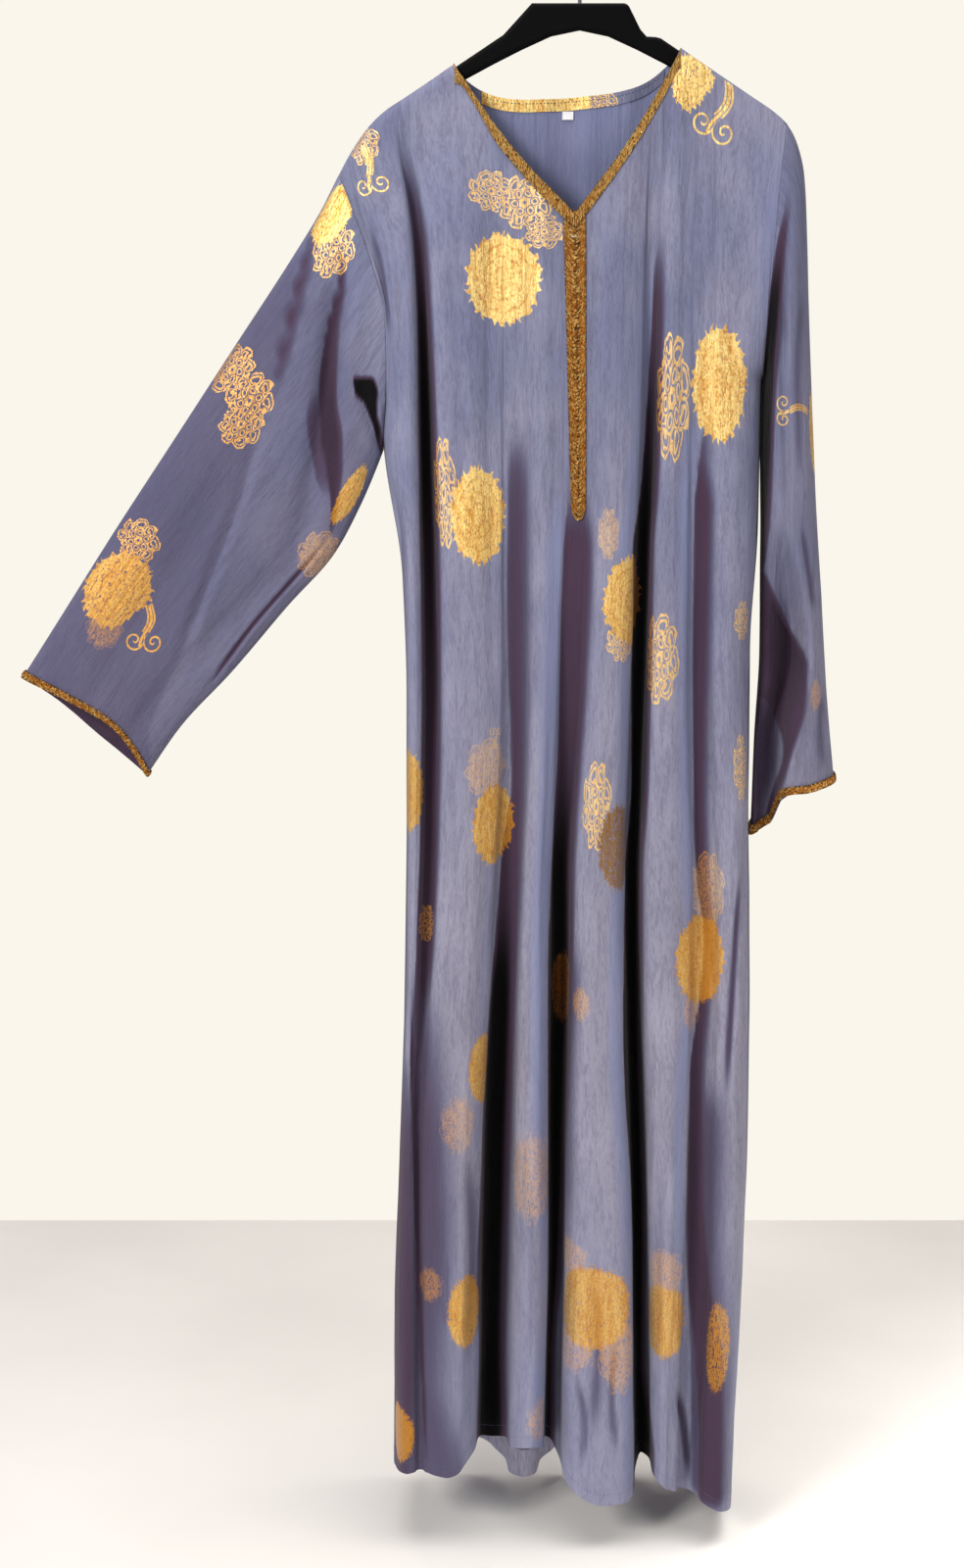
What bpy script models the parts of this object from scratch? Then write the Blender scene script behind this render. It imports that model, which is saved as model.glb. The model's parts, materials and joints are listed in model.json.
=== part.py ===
"""A long V-necked robe with a front placket and long sleeves, hanging on a moulded hanger.

Every size is in millimetres until make_object turns it into metres. +X is to the viewer's right, the
front faces -Y and +Z is up. A drop is a height read downwards from the origin, which is the inside top
of the hanger's hook, where it rests on a rail. Right and left in names are the wearer's: the right
sleeve is at -X.
"""
import math
from collections import namedtuple

import bmesh
import bpy
import numpy as np

MM = 0.001

# Cloth and seams
WALL = 1.4
SEAM_GAP = 0.3
TRIM_LIFT = 0.3
FRONT = -1
BACK = 1

# Hanger
HOOK_INNER_RADIUS = 18.0
HOOK_WIRE_RADIUS = 1.9
HOOK_TIP_ANGLE = -35.0
HOOK_TURN_ANGLE = 215.0
HOOK_STEM_DROP = 47.0
HUB_DROP = 62.0
HUB_HALF_WIDTH = 47.0
HANGER_THICKNESS = 8.4
HANGER_EDGE = 4.0
HANGER_EDGE_STEPS = 3
ARM_HEIGHT = 25.0
ARM_TIP_RISE = 15.5
ARM_TIP_X = 189.0
ARM_CLEARANCE = 3.3
ARCH_DROP = 88.0
ARCH_HALF_WIDTH = 12.0
ARCH_FOOT = (113.0, 135.0)
ARCH_POWER = 1.15
NOTCH = ((60.0, 87.0), (66.0, 93.5), (75.0, 94.0))
NOTCH_LIP_X = 80.0
SOCKET_DEPTH = 12.0
SOCKET_CLEARANCE = 0.3

# Shoulder line: two straight slopes over the arms, then a droop past their ends
SHOULDER_TOP = 40.0
SHOULDER_SLOPE = 0.649
SHOULDER_DROOP = 0.0137
SHOULDER_DROOP_FROM = 190.0
SHOULDER_ROLL = 11.0
SHOULDER_FILL = 200.0

# Neckline
NECK_RIGHT_X = -124.0
NECK_LEFT_X = 100.0
V_BOTTOM_X = -5.0
V_BOTTOM_DROP = 264.0
V_BOW = 11.0
V_SLOPE = 1.36
BACK_NECK_DIP = 37.0
NECK_TURN = 3.0
NECK_FADE = 60.0

# Rows of a panel: drops below a shoulder's edge, then shares of the way from there to the underarm
SHOULDER_ROWS = np.array([0.0, 1.2, 4.0, 9.0, 20.0])
BODY_ROWS = np.array([0.10, 0.24, 0.41, 0.60, 0.80, 1.0])

# Armholes and side edges
ARMHOLE_STEPS = 10
SKIRT_STEPS = 10
SEAM_RUN_IN = 12.0
RIGHT_TIP_DROP = 226.0
RIGHT_UNDERARM_DROP = 496.0
LEFT_TIP_DROP = 176.0
LEFT_UNDERARM_DROP = 430.0
RIGHT_HOLE_DEPTH = 28.0
LEFT_HOLE_DEPTH = 38.0
HOLE_POWER = 0.9

# Trims
NECK_TRIM_WIDTH = 9.5
NECK_TRIM_HEIGHT = NECK_TRIM_WIDTH * math.hypot(1, V_SLOPE)
NECK_TRIM_ROWS = 4
NECK_TRIM_THICKNESS = 1.8
FACING_THICKNESS = 1.0
FACING_ROWS = 3
FACING_FROM_X = -97.0
FACING_TO_X = 88.0
CUFF_TRIM_WIDTH = 9.0
CUFF_TRIM_THICKNESS = 2.0
PLACKET_GAP = 0.6
PLACKET_BOTTOM_DROP = 566.0
PLACKET_BOTTOM_X = 0.0
PLACKET_TOP_WIDTH = 22.0
PLACKET_BOTTOM_WIDTH = 15.0
PLACKET_THICKNESS = 1.8
PLACKET_STEPS = 14
PLACKET_COLUMNS = (-0.5, -0.25, 0.0, 0.25, 0.5)
PLACKET_LIFT = 0.5
PLACKET_END = 12.0
TAB_X = -10.5
TAB_WIDTH = 11.0
TAB_HEIGHT = 8.0
TAB_THICKNESS = 1.0
TAB_GAP = 0.8

# Drops at which the fold tables are read
DROPS = (190, 300, 500, 730, 960, 1250, 1530)

# Folds of the body. x is the middle, depth is how far in the fold reaches, mouth is how wide it opens.
Fold = namedtuple("Fold", "x depth mouth")
FRONT_FOLDS = (
    Fold(x=(-174, -158, -152, -147, -151, -162, -160), depth=(8, 20, 26, 26, 18, 9, 8),
         mouth=(12, 12, 12, 14, 12, 9, 9)),
    Fold(x=(-64, -64, -64, -62, -71, -80, -85), depth=(0, 0, 3, 16, 32, 60, 66),
         mouth=(23, 24, 26, 28, 30, 32, 32)),
    Fold(x=(-5, -5, -4, -8, -16, -18, -22), depth=(0, 0, 0, 16, 38, 58, 62),
         mouth=(24, 24, 24, 24, 22, 20, 20)),
    Fold(x=(76, 72, 69, 62, 58, 67, 73), depth=(0, 8, 24, 34, 46, 60, 64),
         mouth=(14, 14, 15, 16, 16, 17, 17)),
    Fold(x=(124, 122, 122, 123, 131, 128, 120), depth=(0, 0, 6, 20, 22, 26, 28),
         mouth=(20, 22, 24, 26, 28, 28, 26)),
)
BACK_FOLDS = (
    Fold(x=(-130, -132, -130, -128, -130, -134, -136), depth=(0, 4, 10, 20, 28, 36, 40),
         mouth=(24, 24, 26, 28, 30, 32, 34)),
    Fold(x=(-54, -54, -55, -56, -56, -54, -52), depth=(0, 0, 6, 22, 40, 56, 66),
         mouth=(24, 24, 26, 28, 30, 32, 34)),
    Fold(x=(30, 30, 30, 32, 34, 36, 38), depth=(0, 0, 8, 18, 24, 30, 34),
         mouth=(24, 24, 28, 32, 34, 36, 36)),
    Fold(x=(110, 110, 112, 114, 112, 108, 106), depth=(0, 4, 12, 22, 32, 40, 44),
         mouth=(22, 22, 24, 28, 30, 32, 32)),
)
FRONT_RIDGE_COLUMNS = (3, 2, 3, 2)
BACK_RIDGE_COLUMNS = (3, 3, 3)
FRONT_DEPTH = (22, 34, 42, 50, 62, 78, 92)
BACK_DEPTH = (20, 30, 36, 44, 54, 68, 82)
RIDGE_CROWN = 0.10
# How far below the shoulder line the folds begin, and the height over which they open
FOLD_START = 30.0
FOLD_EASE = 60.0

# A fold's own section: place across the mouth, and share of the depth reached there
FOLD_SECTION = ((-0.85, 0.08), (-0.52, 0.36), (-0.42, 0.80), (0.0, 1.0),
                (0.42, 0.80), (0.52, 0.36), (0.85, 0.08))
# The body's turn from side seam to front or back: share of the way in, and share of the depth
SIDE_SECTION = ((0.0, 0.0), (0.05, 0.36), (0.22, 0.72), (0.50, 0.93), (0.78, 1.0))
SIDE_ARMHOLE_SHARE = (1.0, 0.75, 0.45, 0.20, 0.05)

# Side edges of the body: armhole seam above the underarm, side seam below it
Edge = namedtuple("Edge", "drop x")
RIGHT_EDGE = (Edge(226, -238), Edge(288, -214), Edge(371, -192), Edge(430, -191), Edge(496, -195),
              Edge(560, -181), Edge(736, -173), Edge(1150, -179), Edge(1435, -189), Edge(1575, -190))
LEFT_EDGE = (Edge(176, 205), Edge(210, 199), Edge(296, 191), Edge(430, 185), Edge(590, 184),
             Edge(736, 177), Edge(1150, 184), Edge(1250, 183), Edge(1435, 176), Edge(1620, 171))

# Hem drops across the width
Hem = namedtuple("Hem", "x drop")
FRONT_HEM = (Hem(-190, 1562), Hem(-182, 1550), Hem(-160, 1546), Hem(-130, 1550), Hem(-97, 1530),
             Hem(-85, 1536), Hem(-47, 1518), Hem(-22, 1538), Hem(-8, 1562), Hem(30, 1580),
             Hem(60, 1580), Hem(74, 1552), Hem(106, 1571), Hem(143, 1586), Hem(162, 1594), Hem(171, 1602))
BACK_HEM = (Hem(-190, 1562), Hem(-150, 1578), Hem(-100, 1586), Hem(-72, 1600), Hem(-32, 1602),
            Hem(0, 1592), Hem(82, 1594), Hem(171, 1602))

# Sleeves. along runs from armhole to cuff; top and under are the two edges of the flattened tube
Ring = namedtuple("Ring", "along top_x top_drop under_x under_drop half_depth")
RIGHT_RINGS = (
    Ring(0.00, -238, 226, -195, 496, 28),
    Ring(0.08, -257, 262, -203, 516, 27),
    Ring(0.18, -287, 309, -219, 552, 25),
    Ring(0.34, -344, 393, -246, 600, 22),
    Ring(0.52, -407, 486, -296, 655, 19),
    Ring(0.70, -470, 579, -352, 720, 17),
    Ring(0.86, -523, 660, -404, 775, 16),
    Ring(1.00, -567, 727, -442, 829, 16),
)
LEFT_RINGS = (
    Ring(0.00, 205, 176, 185, 430, 38),
    Ring(0.06, 214, 191, 186, 433, 40),
    Ring(0.14, 223, 226, 186, 440, 43),
    Ring(0.26, 227, 290, 186, 456, 45),
    Ring(0.40, 231, 380, 186, 490, 46),
    Ring(0.58, 240, 530, 188, 590, 46),
    Ring(0.74, 250, 660, 188, 700, 45),
    Ring(0.88, 258, 760, 184, 800, 43),
    Ring(1.00, 266, 832, 182, 890, 42),
)
RIGHT_RING_COUNT = 15
LEFT_RING_COUNT = 18
SLEEVE_ROUNDNESS = 0.75
CREASE_RISE = 1.6

# Creases pressed into a sleeve. across is the share of the way from top edge to under edge, and the
# two widths are those of its banks towards either edge
Crease = namedtuple("Crease", "side along across depth top_width under_width")
RIGHT_CREASES = (
    Crease(FRONT, (0.02, 0.15, 0.35, 0.50), (0.20, 0.36, 0.72, 0.90), (0, 9, 8, 0), 20, 20),
    Crease(FRONT, (0.30, 0.50, 0.75, 0.95), (0.30, 0.36, 0.42, 0.50), (0, 5, 6, 0), 22, 22),
    Crease(FRONT, (0.40, 0.60, 0.80, 1.00), (0.86, 0.82, 0.80, 0.78), (0, 6, 5, 3), 14, 14),
    Crease(BACK, (0.05, 0.30, 0.60, 0.95), (0.40, 0.50, 0.55, 0.45), (0, 8, 6, 0), 22, 22),
)
LEFT_CREASES = (
    Crease(FRONT, (0.56, 0.66, 0.78, 0.90, 1.00), (0.86, 0.60, 0.46, 0.70, 0.76),
           (0, 30, 52, 46, 30), 9, 30),
    Crease(FRONT, (0.10, 0.30, 0.50, 0.62), (0.50, 0.62, 0.55, 0.45), (0, 6, 5, 0), 16, 16),
    Crease(BACK, (0.15, 0.40, 0.70, 0.98), (0.50, 0.55, 0.50, 0.48), (0, 12, 16, 8), 18, 18),
)
# How far a cuff's edge is drawn up from the straight, across the front layer
Rise = namedtuple("Rise", "across front back")
RIGHT_CUFF = (Rise(0.0, 0, 0), Rise(0.30, 12, 2), Rise(0.62, 20, 0), Rise(0.85, 12, 0), Rise(1.0, 0, 0))
LEFT_CUFF = (Rise(0.0, 0, 0), Rise(0.35, 12, 4), Rise(0.64, 24, 4), Rise(0.78, 0, 2), Rise(1.0, 0, 0))

# Colours: base colour, roughness, metallic
LILAC_CREPE = ((0.30, 0.29, 0.42), 0.85, 0.0)
GOLD_BRAID = ((0.45, 0.28, 0.10), 0.50, 0.6)
WHITE_TAPE = ((0.80, 0.80, 0.80), 0.80, 0.0)
BLACK_PLASTIC = ((0.02, 0.02, 0.02), 0.45, 0.0)
CHROMED_WIRE = ((0.70, 0.70, 0.70), 0.20, 1.0)


def smooth_read(at, stations, values):
    """Read a short table at any place, on a smooth curve that never overshoots its rows."""
    at = np.clip(np.asarray(at, float), stations[0], stations[-1])
    stations = np.asarray(stations, float)
    values = np.asarray(values, float)
    steps = np.diff(stations)
    rates = np.diff(values) / steps
    slopes = np.zeros(len(values))
    inner = rates[:-1] * rates[1:] > 0
    slopes[1:-1][inner] = 2 * rates[:-1][inner] * rates[1:][inner] / (rates[:-1] + rates[1:])[inner]
    slopes[0] = rates[0]
    slopes[-1] = rates[-1]
    k = np.clip(np.searchsorted(stations, at, side="right") - 1, 0, len(steps) - 1)
    h = steps[k]
    t = (at - stations[k]) / h
    return (values[k] * (1 + 2 * t) * (1 - t) ** 2 + values[k + 1] * t * t * (3 - 2 * t)
            + h * slopes[k] * t * (1 - t) ** 2 - h * slopes[k + 1] * t * t * (1 - t))


def ease(t):
    """Go from 0 to 1 with soft ends."""
    t = np.clip(t, 0.0, 1.0)
    return t * t * (3 - 2 * t)


def shoulder_drop(x):
    """Drop of the shoulder line, carried on over the neck as a straight slope."""
    x = np.abs(x)
    return SHOULDER_TOP + SHOULDER_SLOPE * x + SHOULDER_DROOP * np.maximum(x - SHOULDER_DROOP_FROM, 0) ** 2


def neck_drop(side, x):
    """Drop of the neckline between the two neck points."""
    if side == FRONT:
        neck_x = np.where(x < V_BOTTOM_X, NECK_RIGHT_X, NECK_LEFT_X)
        t = (x - V_BOTTOM_X) / (neck_x - V_BOTTOM_X)
        return V_BOTTOM_DROP + t * (shoulder_drop(neck_x) - V_BOTTOM_DROP) + V_BOW * 4 * t * (1 - t)
    t = (x - NECK_RIGHT_X) / (NECK_LEFT_X - NECK_RIGHT_X)
    chord = shoulder_drop(NECK_RIGHT_X) * (1 - t) + shoulder_drop(NECK_LEFT_X) * t
    return chord + BACK_NECK_DIP * (1 - (2 * t - 1) ** 4)


def top_drop(side, x):
    """Drop of a panel's top edge."""
    in_neck = (x > NECK_RIGHT_X) & (x < NECK_LEFT_X)
    return np.where(in_neck, neck_drop(side, x), shoulder_drop(x))


def edge_x(edge, drop):
    """Place of a side edge at some drop."""
    return smooth_read(drop, [row.drop for row in edge], [row.x for row in edge])


def hole_depth(drop, tip, underarm, depth):
    """How far forward or back the armhole's edge lies at some drop."""
    angle = np.arccos(np.clip(1 - 2 * (drop - tip) / (underarm - tip), -1, 1))
    return depth * np.sin(angle) ** HOLE_POWER


def panel_depth(side, x, drop):
    """How far the smooth panel stands out from the seam plane, rolling over the shoulder first."""
    below = np.maximum(drop - shoulder_drop(x), 0)
    roll = SHOULDER_ROLL * np.sqrt(1 - (1 - np.minimum(below / SHOULDER_ROLL, 1)) ** 2)
    full = smooth_read(drop, DROPS, FRONT_DEPTH if side == FRONT else BACK_DEPTH)
    return roll + np.maximum(full - SHOULDER_ROLL, 0) * ease(below / SHOULDER_FILL)


def section(side, drops, right_top=RIGHT_TIP_DROP, left_top=LEFT_TIP_DROP):
    """Section of a panel at each drop: x and depth of every column, from -X to +X.

    The two tops are the drops at which the armholes' curves begin.
    """
    folds = FRONT_FOLDS if side == FRONT else BACK_FOLDS
    ridge_columns = FRONT_RIDGE_COLUMNS if side == FRONT else BACK_RIDGE_COLUMNS
    right_x = edge_x(RIGHT_EDGE, drops)
    left_x = edge_x(LEFT_EDGE, drops)
    right_hole = hole_depth(drops, right_top, RIGHT_UNDERARM_DROP, RIGHT_HOLE_DEPTH)
    left_hole = hole_depth(drops, left_top, LEFT_UNDERARM_DROP, LEFT_HOLE_DEPTH)
    xs = []
    inward = []
    holes = []
    reach = abs(FOLD_SECTION[0][0])

    def add(x, inset, hole=0.0, share=1.0):
        xs.append(x)
        inward.append(inset)
        holes.append((hole, share))

    rows = [(smooth_read(drops, DROPS, fold.x), smooth_read(drops, DROPS, fold.depth),
             smooth_read(drops, DROPS, fold.mouth)) for fold in folds]
    first_lip = rows[0][0] - reach * rows[0][2]
    last_lip = rows[-1][0] + reach * rows[-1][2]
    for way_in, share in SIDE_SECTION:
        add(right_x + (first_lip - right_x) * way_in, 0.0, right_hole, share)
    for k, (x, depth, mouth) in enumerate(rows):
        open_below = ease((drops - shoulder_drop(x) - FOLD_START) / FOLD_EASE)
        for across, share in FOLD_SECTION:
            add(x + across * mouth, depth * share * open_below)
        if k + 1 < len(rows):
            lip = x + reach * mouth
            next_lip = rows[k + 1][0] - reach * rows[k + 1][2]
            count = ridge_columns[k]
            for m in range(1, count + 1):
                t = m / (count + 1)
                crown = RIDGE_CROWN * (next_lip - lip) * 4 * t * (1 - t)
                add(lip + (next_lip - lip) * t, -crown * open_below)
    for way_in, share in reversed(SIDE_SECTION):
        add(left_x + (last_lip - left_x) * way_in, 0.0, left_hole, share)
    xs = np.stack(xs, -1)
    depths = []
    for i, (hole, share) in enumerate(holes):
        smooth = panel_depth(side, xs[:, i], drops)
        depths.append(hole + (smooth - hole) * share - inward[i])
    return xs, np.stack(depths, -1)


def column_tops(side):
    """Drop at which each column meets the panel's top edge, with one column on each neck point."""
    xs, _ = section(side, np.array([float(DROPS[0])]))
    tops = top_drop(side, xs[0])
    for _ in range(12):
        at, _ = section(side, tops)
        x = np.diagonal(at)
        tops = top_drop(side, x)
    x = np.diagonal(section(side, tops)[0]).copy()
    shifts = np.zeros(len(x))
    in_neck = (x > NECK_RIGHT_X) & (x < NECK_LEFT_X)
    for neck_x, inward in ((NECK_RIGHT_X, 1), (NECK_LEFT_X, -1)):
        k = int(np.argmin(np.abs(x - neck_x)))
        shifts[k] = neck_x - x[k]
        tops[k] = shoulder_drop(neck_x)
        in_neck[k] = False
        beside = neck_x + inward * NECK_TURN
        shifts[k + inward] = beside - x[k + inward]
        tops[k + inward] = neck_drop(side, np.array(beside))
    return tops, shifts, in_neck


def panel_net(side):
    """Outer points of a panel, rows from top edge to hem and columns from -X to +X."""
    tops, shifts, in_neck = column_tops(side)
    count = len(tops)
    hem_rows = FRONT_HEM if side == FRONT else BACK_HEM
    net = np.zeros((ARMHOLE_STEPS + SKIRT_STEPS + 1, count, 3))
    neck_starts = np.arange(NECK_TRIM_ROWS + 1) / NECK_TRIM_ROWS * NECK_TRIM_HEIGHT
    armhole = (1 - np.cos(np.pi * np.arange(ARMHOLE_STEPS + 1) / ARMHOLE_STEPS)) / 2
    for i in range(count):
        x0 = float(section(side, np.array([tops[i]]))[0][0, i])
        level = float(np.interp(x0, (RIGHT_RINGS[0].under_x, LEFT_RINGS[0].under_x),
                                (RIGHT_UNDERARM_DROP, LEFT_UNDERARM_DROP)))
        from_edge = min(i, count - 1 - i)
        weight = SIDE_ARMHOLE_SHARE[from_edge] if from_edge < len(SIDE_ARMHOLE_SHARE) else 0.0
        starts = tops[i] + (neck_starts if in_neck[i] else SHOULDER_ROWS)
        plain = np.concatenate([starts, starts[-1] + BODY_ROWS * (level - starts[-1])])
        if i == 0:
            tip, level = RIGHT_TIP_DROP, RIGHT_UNDERARM_DROP
        elif i == count - 1:
            tip, level = LEFT_TIP_DROP, LEFT_UNDERARM_DROP
        else:
            tip = tops[i]
        upper = weight * (tip + armhole * (level - tip)) + (1 - weight) * plain
        hem_x = float(section(side, np.array([float(DROPS[-1])]))[0][0, i])
        hem = float(smooth_read(hem_x, [row.x for row in hem_rows], [row.drop for row in hem_rows]))
        run_in = upper[-1] + SEAM_RUN_IN
        lower = run_in + (hem - run_in) * np.arange(SKIRT_STEPS) / (SKIRT_STEPS - 1)
        drops = np.concatenate([upper, lower])
        xs, depths = section(side, drops, drops[0], drops[0])
        fade = np.exp(-(drops - drops[0]) / NECK_FADE)
        net[:, i, 0] = xs[:, i] + shifts[i] * fade
        depth = panel_depth(side, net[:, i, 0], drops) + depths[:, i] - panel_depth(side, xs[:, i], drops)
        net[:, i, 1] = side * (SEAM_GAP / 2 + depth)
        net[:, i, 2] = -drops
    return net


def net_normals(net, closed=False):
    """Outward direction at each point of a net, long enough that an offset keeps the wall's thickness."""
    rows, columns = net.shape[:2]
    if closed:
        net = np.concatenate([net, net[:, :1]], 1)
    down = net[1:] - net[:-1]
    across = net[:, 1:] - net[:, :-1]
    faces = np.cross((down[:, :-1] + down[:, 1:]) / 2, (across[:-1] + across[1:]) / 2)
    faces /= np.maximum(np.linalg.norm(faces, axis=2, keepdims=True), 1e-9)
    total = np.zeros((rows, columns, 3))
    corners = []
    for j in (0, 1):
        for i in (0, 1):
            part = np.zeros((rows, columns + 1, 3))
            part[j:rows - 1 + j, i:faces.shape[1] + i] = faces
            if closed:
                part[:, 0] += part[:, columns]
            corners.append(part[:, :columns])
            total += corners[-1]
    total /= np.maximum(np.linalg.norm(total, axis=2, keepdims=True), 1e-9)
    used = [np.linalg.norm(part, axis=2) > 0.5 for part in corners]
    cosine = sum((part * total).sum(2) for part in corners) / np.maximum(sum(used), 1)
    return total / np.maximum(cosine, 0.7)[..., None]


def armhole_normals(tip, underarm, depth, side, x_tip, x_under):
    """Directions shared by panel and sleeve along the armhole, from shoulder tip to underarm."""
    half = math.hypot(x_under - x_tip, underarm - tip) / 2
    chord = np.array([x_under - x_tip, 0.0, tip - underarm]) / (2 * half)
    angles = np.pi * np.arange(ARMHOLE_STEPS + 1) / ARMHOLE_STEPS
    outward = np.array([0, side, 0])
    out = outward * (np.sin(angles) / depth)[:, None] - chord * (np.cos(angles) / half)[:, None]
    return out / np.linalg.norm(out, axis=1, keepdims=True)


def panel_normals(side, net):
    """Outward directions of a panel, with shared ones where it is sewn to its neighbours."""
    normals = net_normals(net)
    if normals[ARMHOLE_STEPS, net.shape[1] // 2, 1] * side < 0:
        normals = -normals
    shoulder = np.array([SHOULDER_SLOPE, 0, 1.0]) / math.hypot(SHOULDER_SLOPE, 1)
    for i in range(net.shape[1]):
        x = net[0, i, 0]
        if x <= NECK_RIGHT_X + 1e-6:
            normals[0, i] = shoulder * (-1, 1, 1)
        elif x >= NECK_LEFT_X - 1e-6:
            normals[0, i] = shoulder
    k = ARMHOLE_STEPS + 1
    normals[k:, 0] = (-1, 0, 0)
    normals[k:, -1] = (1, 0, 0)
    normals[:k, 0] = armhole_normals(RIGHT_TIP_DROP, RIGHT_UNDERARM_DROP, RIGHT_HOLE_DEPTH, side,
                                     RIGHT_RINGS[0].top_x, RIGHT_RINGS[0].under_x)
    normals[:k, -1] = armhole_normals(LEFT_TIP_DROP, LEFT_UNDERARM_DROP, LEFT_HOLE_DEPTH, side,
                                      LEFT_RINGS[0].top_x, LEFT_RINGS[0].under_x)
    return normals


def sleeve_net(panels, rings, ring_count, creases, cuff, column, outward):
    """Outer points of a sleeve: rings from armhole to cuff, each from its top edge round the front."""
    front, back = (panel[:ARMHOLE_STEPS + 1, column].copy() for panel in panels)
    first = np.concatenate([front, back[-2:0:-1]])
    first[0, 1] = 0.0
    first[ARMHOLE_STEPS, 1] = 0.0
    first[:, 0] += outward * SEAM_GAP
    count = len(first)
    angles = 2 * np.pi * np.arange(count) / count
    across = (1 - np.cos(angles)) / 2
    along_rows = [ring.along for ring in rings]
    top0 = np.array([rings[0].top_x, 0, -rings[0].top_drop])
    under0 = np.array([rings[0].under_x, 0, -rings[0].under_drop])
    straight = top0 + (under0 - top0) * across[:, None]
    bow = first - straight
    bow[:, 1] = 0
    net = []
    alongs = np.linspace(0, 1, ring_count)
    length = np.linalg.norm(np.array([rings[-1].top_x, rings[-1].top_drop]) - top0[[0, 2]] * (1, -1))
    alongs = np.insert(alongs, -1, 1 - CUFF_TRIM_WIDTH / length)
    for along in alongs:
        if along == 0:
            net.append(first)
            continue
        top_x, top_z, under_x, under_z, half_depth = (
            float(smooth_read(along, along_rows, [getattr(ring, name) for ring in rings]))
            for name in Ring._fields[1:])
        top = np.array([top_x, 0, -top_z])
        under = np.array([under_x, 0, -under_z])
        ring = top + (under - top) * across[:, None] + bow * (1 - along) ** 3
        lean = np.sign(np.sin(angles)) * np.abs(np.sin(angles)) ** SLEEVE_ROUNDNESS
        ring[:, 1] = -half_depth * np.where(np.abs(np.sin(angles)) < 1e-9, 0, lean)
        chord = np.linalg.norm(under - top)
        for crease in creases:
            centre = float(smooth_read(along, crease.along, crease.across))
            depth = float(smooth_read(along, crease.along, crease.depth))
            if along < crease.along[0] or along > crease.along[-1]:
                depth = 0.0
            width = np.where(across < centre, crease.top_width, crease.under_width)
            share = np.exp(-((across - centre) * chord / width) ** 2)
            on_side = lean * -crease.side > 0
            ring[:, 1] -= crease.side * depth * share * on_side * np.minimum(np.abs(lean) * CREASE_RISE, 1)
        axis = np.array([rings[-1].top_x + rings[-1].under_x - top0[0] - under0[0], 0,
                         -rings[-1].top_drop - rings[-1].under_drop - top0[2] - under0[2]], float)
        axis /= np.linalg.norm(axis)
        cuff_rows = [row.across for row in cuff]
        rise = np.where(lean > 0, smooth_read(across, cuff_rows, [row.front for row in cuff]),
                        smooth_read(across, cuff_rows, [row.back for row in cuff]))
        net.append(ring - axis * (rise * along ** 4)[:, None])
    return np.array(net)


def offset_layers(net, normals, low, high):
    """Two copies of a net, moved out by two amounts, the farther one first."""
    return net + normals * high, net + normals * low


def make_material(name, finish):
    """Plain Principled material of one of the finishes above."""
    colour, roughness, metallic = finish
    material = bpy.data.materials.get(name) or bpy.data.materials.new(name)
    material.use_nodes = True
    shader = material.node_tree.nodes["Principled BSDF"]
    shader.inputs["Base Color"].default_value = (*colour, 1.0)
    shader.inputs["Roughness"].default_value = roughness
    shader.inputs["Metallic"].default_value = metallic
    material.diffuse_color = (*colour, 1.0)
    return material


def make_object(name, points, faces, material, sharp_angle=50.0):
    """One closed solid, its faces pointing out, in metres."""
    mesh = bpy.data.meshes.new(name)
    mesh.from_pydata([tuple(float(c) * MM for c in point) for point in points], [], faces)
    bm = bmesh.new()
    bm.from_mesh(mesh)
    bmesh.ops.recalc_face_normals(bm, faces=bm.faces)
    bm.to_mesh(mesh)
    bm.free()
    mesh.materials.append(material)
    mesh.shade_smooth()
    mesh.set_sharp_from_angle(angle=math.radians(sharp_angle))
    obj = bpy.data.objects.new(name, mesh)
    bpy.context.scene.collection.objects.link(obj)
    return obj


def split_quad(a, b, c, d):
    """The two triangles of a quad, always cut the same way."""
    return [(a, b, c), (a, c, d)]


def make_shell(name, outer, inner, material, closed=False):
    """Closed solid between an outer and an inner net; a closed net is a tube of rings."""
    rows, columns = outer.shape[:2]
    points = np.concatenate([outer.reshape(-1, 3), inner.reshape(-1, 3)])
    half = rows * columns

    def at(layer, j, i):
        return layer * half + j * columns + i % columns

    faces = []
    last = columns if closed else columns - 1
    for j in range(rows - 1):
        for i in range(last):
            faces += split_quad(at(0, j, i), at(0, j + 1, i), at(0, j + 1, i + 1), at(0, j, i + 1))
            flipped = split_quad(at(1, j, i), at(1, j + 1, i), at(1, j + 1, i + 1), at(1, j, i + 1))
            faces += [face[::-1] for face in flipped]
    for j in (0, rows - 1):
        for i in range(last):
            faces += split_quad(at(0, j, i), at(0, j, i + 1), at(1, j, i + 1), at(1, j, i))
    if not closed:
        for i in (0, columns - 1):
            for j in range(rows - 1):
                faces += split_quad(at(0, j, i), at(0, j + 1, i), at(1, j + 1, i), at(1, j, i))
    return make_object(name, points, faces, material)


def net_reader(net):
    """Function that gives the panel's depth at some x and drop, read on its own faces."""
    def read(x, drop):
        best = None
        for i in range(net.shape[1] - 1):
            column = [np.array([np.interp(drop, -net[:, k, 2], net[:, k, axis]) for axis in (0, 1)])
                      for k in (i, i + 1)]
            if column[0][0] <= x <= column[1][0]:
                t = (x - column[0][0]) / max(column[1][0] - column[0][0], 1e-6)
                best = column[0][1] * (1 - t) + column[1][1] * t
        return best
    return read


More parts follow.
